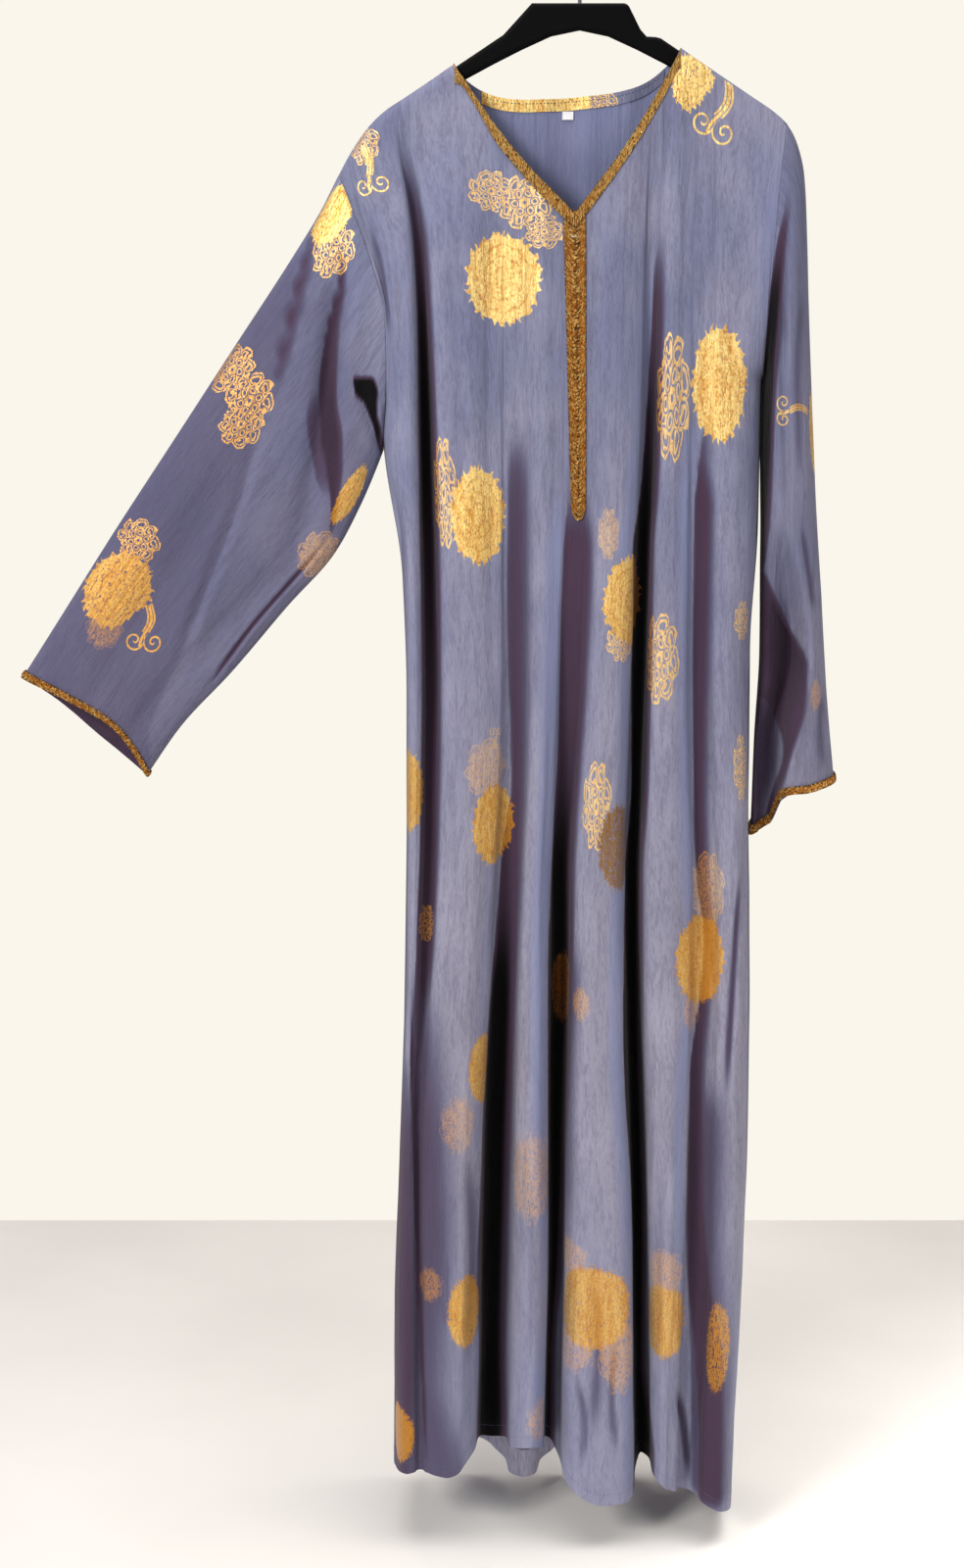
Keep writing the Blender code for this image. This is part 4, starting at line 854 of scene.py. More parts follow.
@functools.lru_cache(maxsize=None)
def panel_cloth(side, height):
    """Outer face of a body panel as a dense net, with its wrinkles and creases."""
    net, rows, parts, spread = refine(panel_net(side), ROW_STEP, COLUMN_STEP)
    normals = net_normals(net)
    middle = net.shape[1] // 2
    if normals[rows[ARMHOLE_STEPS], middle, 1] * side < 0:
        normals = -normals
    shoulder = np.array([SHOULDER_SLOPE, 0, 1.0]) / math.hypot(SHOULDER_SLOPE, 1)
    top_x = net[0, :, 0]
    normals[0, top_x <= NECK_RIGHT_X + 1e-6] = shoulder * (-1, 1, 1)
    normals[0, top_x >= NECK_LEFT_X - 1e-6] = shoulder
    k = rows[ARMHOLE_STEPS] + 1
    normals[k:, 0] = (-1, 0, 0)
    normals[k:, -1] = (1, 0, 0)
    hole = parts[:k] / ARMHOLE_STEPS
    normals[:k, 0] = armhole_normals(RIGHT_HOLE, side, hole)
    normals[:k, -1] = armhole_normals(LEFT_HOLE, side, hole)
    drop = -net[..., 2]
    if side == FRONT:
        seed, troughs = FRONT_SEED, FRONT_TROUGHS
        shade = band_shade(net[..., 0], drop, FRONT_BANDS)
    else:
        seed, troughs = BACK_SEED, BACK_TROUGHS
        inset = panel_depth(side, net[..., 0], drop) - (net[..., 1] * side - SEAM_GAP / 2)
        shade = back_shade(inset, drop, spread)
    pressed, creased = trough_relief(net, normals, troughs)
    relief = wrinkle_relief(spread[None, :], drop, seed, height) + height * pressed
    shade = np.where(creased > FAINT, np.maximum(shade, creased), shade)
    below_top = running(step_lengths(net))
    relief *= ease((spread - spread[0]) / EDGE_FADE) * ease((spread[-1] - spread) / EDGE_FADE)
    relief *= ease(below_top / EDGE_FADE) * (CALM_SHARE + (1 - CALM_SHARE) * ease(below_top / CALM_REACH))
    return Cloth(net + normals * relief[..., None], normals, rows, np.broadcast_to(spread, drop.shape),
                 drop, shade), parts


def sleeve_ring(rings, along):
    """Top edge, under edge and half depth of a sleeve at a share of its length."""
    ring = Ring(along, *(float(read_rows(rings, along, "along", name)) for name in Ring._fields[1:]))
    return (np.array([ring.top_x, 0, -ring.top_drop]), np.array([ring.under_x, 0, -ring.under_drop]),
            ring.half_depth)


# How a sleeve is built: its tables, the panels' column that it joins, the way it points, the seed of its
# wrinkles, the tone of its shade and the share of that tone beside the armhole
Sleeve = namedtuple("Sleeve", "rings creases cuff troughs bands column outward seed tone near")
SLEEVES = {
    "right": Sleeve(RIGHT_RINGS, RIGHT_CREASES, RIGHT_CUFF, RIGHT_SLEEVE_TROUGHS, RIGHT_SLEEVE_BANDS,
                    0, -1, 21, 0.18, 0.3),
    "left": Sleeve(LEFT_RINGS, LEFT_CREASES, LEFT_CUFF, LEFT_SLEEVE_TROUGHS, LEFT_SLEEVE_BANDS,
                   -1, 1, 27, 0.10, 1),
}


def armhole_loop(sleeve, height):
    """Points and directions round the armhole's own edge, twice as dense, and the angle of each.

    The angle is 0 at the top edge and pi at the underarm, and the loop begins down the front.
    """
    edges = []
    for side in (FRONT, BACK):
        cloth, parts = panel_cloth(side, height)
        rows = slice(0, cloth.rows[ARMHOLE_STEPS] + 1)
        edges.append((cloth.points[rows, sleeve.column], cloth.normals[rows, sleeve.column],
                      parts[rows] / ARMHOLE_STEPS))
    (points, normals, turns), back = edges
    under = len(points) - 1
    points = np.concatenate([points, back[0][-2:0:-1]])
    normals = np.concatenate([normals, back[1][-2:0:-1]])
    turns = np.concatenate([turns, 2 - back[2][-2:0:-1]])
    points[[0, under], 1] = 0.0
    points[:, 0] += sleeve.outward * SEAM_GAP

    def doubled(values, end):
        values = np.concatenate([values, end])
        between = (values[:-1] + values[1:]) / 2
        return np.stack([values[:-1], between], 1).reshape((-1,) + values.shape[1:])

    return doubled(points, points[:1]), unit(doubled(normals, normals[:1])), np.pi * doubled(turns, [2.0])


def press_creases(ring, creases, along, across, lean, chord):
    """Press a sleeve's creases into the ring at one share of its length."""
    for crease in creases:
        if along < crease.along[0] or along > crease.along[-1]:
            continue
        centre, depth = (float(smooth_read(along, crease.along, column))
                         for column in (crease.across, crease.depth))
        width = np.where(across < centre, crease.top_width, crease.under_width)
        share = np.exp(-((across - centre) * chord / width) ** 2)
        on_side = lean * -crease.side > 0
        ring[:, 1] -= crease.side * depth * share * on_side * np.minimum(np.abs(lean) * CREASE_RISE, 1)


@functools.lru_cache(maxsize=None)
def sleeve_cloth(name, height):
    """Outer face of a sleeve as rings from armhole to cuff, each from its top edge round the front."""
    sleeve = SLEEVES[name]
    rings = sleeve.rings
    first, first_normals, angles = armhole_loop(sleeve, height)
    across = (1 - np.cos(angles)) / 2
    sine = np.sin(angles)
    lean = np.where(np.abs(sine) < TINY, 0, np.sign(sine) * np.abs(sine) ** SLEEVE_ROUNDNESS)
    start_top, start_under, _ = sleeve_ring(rings, 0.0)
    end_top, end_under, _ = sleeve_ring(rings, 1.0)
    bow = first - (start_top + (start_under - start_top) * across[:, None])
    bow[:, 1] = 0
    axis = end_top + end_under - start_top - start_under
    axis /= np.linalg.norm(axis)
    rise = np.where(lean > 0, *(read_rows(sleeve.cuff, across, "across", name) for name in ("front", "back")))
    length = math.hypot(rings[-1].top_x - rings[0].top_x, rings[-1].top_drop - rings[0].top_drop)
    count = round(length / SLEEVE_RING_STEP)
    cuff_at = 1 - CUFF_TRIM_WIDTH / length
    alongs = np.concatenate([np.linspace(0, cuff_at, count), [(1 + cuff_at) / 2, 1.0]])
    net = [first]
    for along in alongs[1:]:
        top, under_edge, half_depth = sleeve_ring(rings, along)
        ring = top + (under_edge - top) * across[:, None] + bow * (1 - along) ** 3
        ring[:, 1] = -half_depth * lean
        press_creases(ring, sleeve.creases, along, across, lean, np.linalg.norm(under_edge - top))
        net.append(ring - axis * (rise * along ** 4)[:, None])
    net = np.array(net)
    normals = net_normals(net, closed=True)
    if ((net - net.mean(1, keepdims=True)) * normals).sum() < 0:
        normals = -normals
    normals[0] = first_normals
    steps = np.linalg.norm(np.diff(net, axis=1, append=net[:, :1]), axis=2)
    spread = running(steps.mean(0)[:-1])
    way = running(step_lengths(net).mean(1))
    grid_spread, grid_way = np.meshgrid(spread, way)
    off_top = ease(spread / TOP_CALM) * ease((spread[-1] + steps.mean() - spread) / TOP_CALM)
    relief = wrinkle_relief(grid_spread, grid_way, sleeve.seed, height) * off_top
    pressed, creased = trough_relief(net, normals, sleeve.troughs)
    relief += height * pressed
    relief *= ease(way / EDGE_FADE)[:, None]
    points = net + normals * relief[..., None]
    tone = sleeve.tone * (sleeve.near + (1 - sleeve.near) * ease(way / SLEEVE_TONE_RUN))[:, None]
    shade = np.maximum(creased, tone)
    bands = band_shade(net[..., 0], -net[..., 2], sleeve.bands)
    shade = np.where(normals[..., 1] < FRONT_FACING, np.maximum(shade, bands), shade)
    return Cloth(points, normals, count - 1, grid_spread, grid_way, shade)


def place_motifs(cloth, motifs, side, closed):
    """For each quad's corners, the nearest motif's own coordinates and kind, for two layers of print."""
    rows, columns = cloth.points.shape[:2]
    last = columns if closed else columns - 1
    layers = [np.full((rows - 1, last, 4, 3), NO_MOTIF) for _ in range(2)]
    best = [np.full((rows - 1, last), PRINT_REACH) for _ in range(2)]
    for motif in motifs:
        off = np.hypot(cloth.points[..., 0] - motif.x, -cloth.points[..., 2] - motif.drop)
        off += FAR * (cloth.normals[..., 1] * (motif.side or side) < MOTIF_FACING)
        row, column = np.unravel_index(int(np.argmin(off)), off.shape)
        reach = motif.radius * PRINT_REACH * REACH_MARGIN
        span = int(reach / LEAST_ROW)
        low, high = max(row - span, 0), min(row + span, rows - 1)
        span = int(reach / LEAST_COLUMN)
        picked = np.arange(column - span, column + span + 1)
        if closed:
            picked = picked[:columns] % columns
        else:
            picked = picked[(picked >= 0) & (picked < columns)]
        middle = int(np.flatnonzero(picked == column)[0])
        part = cloth.points[low:high + 1][:, picked]
        tangent = unit(np.gradient(part, axis=0), TINY)
        step = np.diff(part, axis=1)
        lean = (tangent[:, 1:] + tangent[:, :-1]) / 2
        slip = (step * lean).sum(2)
        sideways = np.sqrt(np.maximum((step ** 2).sum(2) - slip ** 2, 0))
        across = running(sideways, 1)
        across = (across - across[:, middle:middle + 1]) / motif.narrow
        anchor = row - low
        down = running(step_lengths(part))
        down -= down[anchor:anchor + 1]
        slant = running(slip[anchor])
        down = down + slant - slant[middle]
        turn = math.radians(motif.turn)
        local = np.stack([across * math.cos(turn) + down * math.sin(turn),
                          down * math.cos(turn) - across * math.sin(turn)], 2) / motif.radius
        corners = np.stack([local[:-1, :-1], local[1:, :-1], local[1:, 1:], local[:-1, 1:]], 2)
        distance = np.linalg.norm(corners.mean(2), axis=2)
        layer = int(motif.kind == OUTLINE)
        faces = picked[:-1]
        window = best[layer][low:high][:, faces]
        nearer = distance < window
        values = layers[layer][low:high][:, faces]
        values[nearer, :, :2] = corners[nearer]
        values[nearer, :, 2] = motif.kind + motif.wear
        window[nearer] = distance[nearer]
        layers[layer][low:high, faces] = values
        best[layer][low:high, faces] = window
    return layers


# ---- Meshes ----
def show(name, data):
    """New object in the scene."""
    obj = bpy.data.objects.new(name, data)
    bpy.context.scene.collection.objects.link(obj)
    return obj


def make_mesh(name, points, faces, material, sharp_angle=55.0):
    """Object from points in millimetres and a list of faces, which rides with the garment."""
    mesh = bpy.data.meshes.new(name)
    mesh.from_pydata((np.asarray(points) * MM).tolist(), [], [list(face) for face in faces])
    mesh.materials.append(material)
    mesh.shade_smooth()
    mesh.set_sharp_from_angle(angle=math.radians(sharp_angle))
    obj = show(name, mesh)
    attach(obj, "root")
    return obj


def shell_quads(rows, columns, closed):
    """Quads of a shell's outer face, and those of its inner face and rims, for two layers of points."""
    last = columns if closed else columns - 1
    j, i = np.meshgrid(np.arange(rows - 1), np.arange(last), indexing="ij")
    beside = (i + 1) % columns
    row, below = j * columns, (j + 1) * columns
    outer = np.stack([row + i, below + i, below + beside, row + beside], -1)
    half = rows * columns
    inner = (outer + half)[..., ::-1].reshape(-1, 4)
    i = np.arange(last)
    beside = (i + 1) % columns
    end = (rows - 1) * columns
    rims = [np.stack([i, beside, beside + half, i + half], -1),
            np.stack([end + beside, end + i, end + i + half, end + beside + half], -1)]
    if not closed:
        left = np.arange(rows - 1) * columns
        rims.append(np.stack([left + columns, left, left + half, left + columns + half], -1))
        right = left + columns - 1
        rims.append(np.stack([right, right + columns, right + columns + half, right + half], -1))
    return outer, np.concatenate([inner] + rims)


def make_shell(name, outer, inner, material, closed=False, cloth=None, print_layers=None):
    """Thin closed piece between two nets, with the coordinates that its material reads."""
    rows, columns = outer.shape[:2]
    quads, others = shell_quads(rows, columns, closed)
    corner = outer.reshape(-1, 3)[quads]
    face_out = np.cross(corner[..., 1, :] - corner[..., 0, :], corner[..., 3, :] - corner[..., 0, :])
    away = (outer - inner).reshape(-1, 3)[quads[..., 0]]
    order = [0, 1, 2, 3] if (face_out * away).sum() > 0 else [0, 3, 2, 1]
    faces = np.concatenate([quads.reshape(-1, 4)[:, order], others[:, order]])
    points = np.concatenate([outer.reshape(-1, 3), inner.reshape(-1, 3)])
    obj = make_mesh(name, points, faces.tolist(), material)
    mesh = obj.data
    if cloth is None:
        grid = np.meshgrid(running(step_lengths(outer, 1).mean(0)), running(step_lengths(outer).mean(1)))
        cloth = (grid[0], grid[1], np.zeros(grid[0].shape))
    values = np.stack([cloth[0] * MM, cloth[1] * MM, cloth[2]], -1).reshape(-1, 3)
    layer = mesh.attributes.new("cloth", "FLOAT_VECTOR", "POINT")
    inside = values.copy()
    if print_layers:
        # Inner faces: painted shade inside the sleeves, painted cool light inside the body
        inside[:, 2] = SLEEVE_INSIDE_SHADE if closed else BODY_INSIDE_LIGHT
    layer.data.foreach_set("vector", np.concatenate([values, inside]).astype(np.float32).ravel())
    for label, data in zip(("print_a", "print_b"), print_layers or ()):
        plain = np.tile(NO_MOTIF, (len(others) * 4, 1))
        data = np.concatenate([data[:, :, order].reshape(-1, 3), plain]).astype(np.float32)
        layer = mesh.attributes.new(label, "FLOAT_VECTOR", "CORNER")
        layer.data.foreach_set("vector", data.ravel())
    return obj


def make_cloth(name, cloth, motifs, side, closed, shift=0.0):
    """Printed piece of crepe behind its outer face; the shift moves its crinkle away from its neighbour's."""
    group = settings_of("cloth")
    crepe = material_for("printed_crepe", make_crepe, group)
    inner = cloth.points - cloth.normals * group.thickness / MM
    return make_shell(name, cloth.points, inner, crepe, closed, (cloth.spread + shift, cloth.drop, cloth.shade),
                      place_motifs(cloth, motifs, side, closed))


def resample(points, normals, rows, step, closed=False):
    """A strip of cloth read again with even rows across it and even steps along it."""
    if closed:
        points = np.concatenate([points, points[:, :1]], 1)
        normals = np.concatenate([normals, normals[:, :1]], 1)
    middle = points[len(points) // 2]
    way = running(step_lengths(middle))
    count = max(int(round(way[-1] / step)), 2)
    along = np.interp(np.linspace(0, way[-1], count + 1), way, np.arange(len(way)))
    across_way = running(step_lengths(points).mean(1))
    across = np.interp(np.linspace(0, across_way[-1], rows), across_way, np.arange(len(across_way)))

    def read(values):
        j = np.minimum(across.astype(int), len(values) - 2)
        tj = (across - j)[:, None, None]
        values = values[j] * (1 - tj) + values[j + 1] * tj
        i = np.minimum(along.astype(int), values.shape[1] - 2)
        ti = (along - i)[None, :, None]
        return values[:, i] * (1 - ti) + values[:, i + 1] * ti

    points, normals = read(points), unit(read(normals))
    if closed:
        points, normals = points[:, :-1], normals[:, :-1]
    return points, normals


def braid_profile(rows, along, cords, thickness):
    """Height of a plaited braid: rounded cords side by side, each with slanting strands."""
    across = np.linspace(0, 1, rows) * cords
    place = np.abs(2 * (across - np.minimum(np.floor(across), cords - 1)) - 1)
    crown = 1 - 0.6 * place ** 3
    strands = 0.5 + 0.5 * np.cos(2 * np.pi * along[None, :] / PLAIT_PITCH + 2.4 * place[:, None])
    return thickness * (0.42 + 0.34 * crown[:, None] + 0.24 * strands * crown[:, None])


def make_braid(name, points, normals, cords, thickness, material, closed=False, lift=TRIM_LIFT):
    """Braid laid on a strip of the cloth: its rows go across it and its columns along it."""
    points, normals = resample(points, normals, cords * BRAID_ROWS + 1, BRAID_STEP, closed)
    middle = points[len(points) // 2]
    steps = np.linalg.norm(np.diff(middle, axis=0, append=middle[:1] if closed else middle[-1:]), axis=1)
    along = running(steps[:-1])
    if closed:
        total = along[-1] + steps[-1]
        along = along * round(total / PLAIT_PITCH) * PLAIT_PITCH / total
    height = braid_profile(len(points), along, cords, thickness)
    outer = points + normals * (lift + height)[..., None]
    inner = points + normals * lift
    across = np.linspace(0, cords, len(points))
    cloth = (np.tile(along, (len(points), 1)), np.tile(across[:, None] * CORD_WIDTH, (1, len(along))),
             np.tile(height / thickness, 1))
    return make_shell(name, outer, inner, material, closed, cloth)


def make_stitches(name, path, normals, length, gap, radius, material, lift=0.15, sink=0.1):
    """A row of separate sewn stitches along a path, each a small spindle."""
    way = running(step_lengths(path))
    starts = np.arange(gap, way[-1] - length - gap, length + gap)
    points = []
    faces = []
    for start in starts:
        ends = [np.array([np.interp(start + part * length, way, path[:, a]) for a in range(3)])
                for part in STITCH_PARTS]
        out = np.array([np.interp(start + length / 2, way, normals[:, a]) for a in range(3)])
        out /= np.linalg.norm(out)
        run = ends[3] - ends[0]
        run /= max(np.linalg.norm(run), TINY)
        beside = np.cross(run, out)
        base = len(points)
        points.append(ends[0] - out * sink)
        for middle in ends[1:3]:
            centre = middle + out * lift
            points += [centre + out * radius, centre + beside * radius * STITCH_FLATNESS,
                       centre - out * radius, centre - beside * radius * STITCH_FLATNESS]
        points.append(ends[3] - out * sink)
        for m in range(4):
            n = (m + 1) % 4
            faces += [(base, base + 1 + n, base + 1 + m),
                      (base + 1 + m, base + 1 + n, base + 5 + n, base + 5 + m),
                      (base + 5 + m, base + 5 + n, base + 9)]
    return make_mesh(name, np.array(points), faces, material)


# ---- Materials ----
def with_other(operation, order=1):
    """Method that puts a wire and another number through one Math node, in that order or the other (-1)."""
    return lambda wire, other: reckon(wire.tree, operation, *(wire, other)[::order])


class Wire:
    """A number in a node tree; sums, products and comparisons of wires add Math nodes."""

    def __init__(self, tree, socket):
        self.tree = tree
        self.socket = socket

    __add__ = __radd__ = with_other("ADD")
    __sub__ = with_other("SUBTRACT")
    __rsub__ = with_other("SUBTRACT", -1)
    __mul__ = __rmul__ = with_other("MULTIPLY")
    __lt__ = with_other("LESS_THAN")
    __gt__ = with_other("GREATER_THAN")


def feed(tree, node, *values, **named):
    """Give a node's first inputs, and those named, their values: links for wires, plain numbers as they are."""
    slots = [*node.inputs[:len(values)], *(node.inputs[name.replace("_", " ")] for name in named)]
    for slot, value in zip(slots, (*values, *named.values())):
        value = getattr(value, "socket", value)
        if isinstance(value, bpy.types.NodeSocket):
            tree.links.new(value, slot)
        else:
            slot.default_value = value
    return node


def reckon(tree, operation, *values):
    """One Math node."""
    node = feed(tree, tree.nodes.new("ShaderNodeMath"), *values)
    node.operation = operation
    return Wire(tree, node.outputs[0])


def size_of(a):
    """A number without its sign."""
    return reckon(a.tree, "ABSOLUTE", a)


def step_up(a, low, high):
    """0 below low, 1 above high, soft between."""
    node = a.tree.nodes.new("ShaderNodeMapRange")
    node.interpolation_type = "SMOOTHSTEP"
    return Wire(a.tree, feed(a.tree, node, Value=a, From_Min=low, From_Max=high).outputs["Result"])


def greater(a, b):
    """The greater of two numbers."""
    return reckon(a.tree, "MAXIMUM", a, b)


def split(tree, vector):
    """The three numbers of a vector or a colour."""
    node = feed(tree, tree.nodes.new("ShaderNodeSeparateXYZ"), vector)
    return [Wire(tree, output) for output in node.outputs]


def attribute(tree, name):
    """The three numbers of a mesh attribute."""
    node = tree.nodes.new("ShaderNodeAttribute")
    node.attribute_name = name
    return split(tree, node.outputs["Vector"])


def height_of(tree):
    """Height of the shaded place in the shared frame, in metres."""
    return split(tree, tree.nodes.new("ShaderNodeNewGeometry").outputs["Position"])[2]


def own_place(tree):
    """The shaded place in the object's own frame."""
    return tree.nodes.new("ShaderNodeTexCoord").outputs["Object"]


def join(tree, *numbers):
    """A vector made of two or three numbers."""
    return feed(tree, tree.nodes.new("ShaderNodeCombineXYZ"), *numbers).outputs[0]


def noise(tree, vector, scale=1.0, detail=2.0, roughness=0.5, distortion=0.0):
    """Cloudy noise from 0 to 1."""
    node = feed(tree, tree.nodes.new("ShaderNodeTexNoise"), Vector=vector, Scale=scale, Detail=detail,
                Roughness=roughness, Distortion=distortion)
    return Wire(tree, node.outputs[0])


def cloth_noise(across, along, scales, **options):
    """Noise on the cloth's own net, with its scale across and along it in cells a metre."""
    tree = across.tree
    return noise(tree, join(tree, across * scales[0], along * scales[1]), **options)


def cells(tree, vector, scale):
    """Cell pattern: the distance from a cell's middle, and a random number for each cell."""
    node = feed(tree, tree.nodes.new("ShaderNodeTexVoronoi"), Vector=vector, Scale=scale)
    return Wire(tree, node.outputs["Distance"]), split(tree, node.outputs["Color"])[0]


def tint(factor, low, high):
    """Colour between two colours."""
    tree = factor.tree
    node = tree.nodes.new("ShaderNodeMix")
    node.data_type = "RGBA"
    tree.links.new(factor.socket, node.inputs[0])
    for slot, colour in ((node.inputs[6], low), (node.inputs[7], high)):
        if hasattr(colour, "is_linked"):
            tree.links.new(colour, slot)
        else:
            slot.default_value = (*colour, 1.0)
    return node.outputs[2]


def finish_material(material, colour, relief, distance, strength, roughness=None):
    """Link a colour, a bump of some height in metres and, where it varies, the roughness."""
    tree = material.node_tree
    bump = feed(tree, tree.nodes.new("ShaderNodeBump"), Strength=strength, Distance=distance, Height=relief)
    shader = feed(tree, tree.nodes["Principled BSDF"], Base_Color=colour, Normal=bump.outputs["Normal"])
    if roughness:
        feed(tree, shader, Roughness=roughness)
    return material


def new_material(name, roughness, metallic=0.0, sheen=0.0, specular=0.5):
    """Empty material with its uniform values set, and its node tree."""
    material = bpy.data.materials.new(name)
    material.use_nodes = True
    tree = material.node_tree
    feed(tree, tree.nodes["Principled BSDF"], Roughness=roughness, Metallic=metallic, Sheen_Weight=sheen,
         Specular_IOR_Level=specular)
    return material, tree


def linear(*values):
    """Colour on screen, from 0 to 255, as light."""
    return tuple(v / 255 / 12.92 if v <= 10 else ((v / 255 + 0.055) / 1.055) ** 2.4 for v in values)


def petal_lines(radius, angle, count, turn, middle, width, length):
    """Outlines of one ring of petals, each an oval with a smaller oval inside it."""
    tree = radius.tree
    share = reckon(tree, "FRACT", angle * (count / (2 * math.pi)) + turn) - 0.5
    sideways = share * radius * (2 * math.pi / count / width)
    outwards = (radius - middle) * (1 / length)
    oval = reckon(tree, "SQRT", sideways * sideways + outwards * outwards)
    return greater(size_of(oval - 1.0) < 0.15, size_of(oval - 0.50) < 0.14), oval


def solid_flower(radius, angle, teeth):
    """Foil flower with a toothed rim: how much foil, and how much of it lies on a petal's edge."""
    rim = 0.98 - teeth * size_of(reckon(radius.tree, "SINE", angle * (RIM_TEETH / 2)))
    inside = step_up(rim - radius, 0.0, 0.03)
    ring = reckon(radius.tree, "CEIL", radius * PETAL_RINGS)
    share = reckon(radius.tree, "FRACT", radius * PETAL_RINGS)
    middle = size_of(reckon(radius.tree, "COSINE", angle * (PETALS / 2) + ring * (math.pi / 2)))
    petal = step_up(middle * 0.30 + 0.66 - share, -0.02, 0.10) * step_up(middle, 0.02, 0.20)
    return inside, inside * (1 - petal) * (radius > 0.12)


def outline_flower(radius, angle):
    """Foil outlines of three rings of petals round a small heart."""
    outer, _ = petal_lines(radius, angle, 8, 0.0, 0.70, 0.27, 0.27)
    inner, cover = petal_lines(radius, angle, 6, 0.25, 0.36, 0.19, 0.20)
    outer = outer * (cover > 1.0)
    heart = size_of(radius - 0.10) < 0.035
    return greater(greater(outer, inner), heart)


def is_kind(kind, code):
    """1 where the print is of one kind."""
    return size_of(kind - code) < 0.5


def scroll(x, y):
    """A ribbed stem with a spiral hook on each side of its end."""
    tree = x.tree
    beside = size_of(x) - 0.34
    above = y + 0.30
    reach = reckon(tree, "SQRT", beside * beside + above * above)
    turn = reckon(tree, "ARCTAN2", above, beside)
    spiral = size_of(reckon(tree, "FRACT", turn * (0.5 / math.pi) + reach * 4.2 + 0.5) - 0.5)
    hook = (spiral < 0.13) * (reach < 0.36) * (reach > 0.03)
    bend = x + 0.12 * reckon(tree, "SINE", y * 4.0)
    stem = (size_of(bend) < 0.05) * (y > -0.5) * (y < 0.95)
    sides = (size_of(size_of(bend) - 0.11) < 0.032) * (y > 0.0) * (y < 0.95)
    return greater(greater(hook, stem), sides)


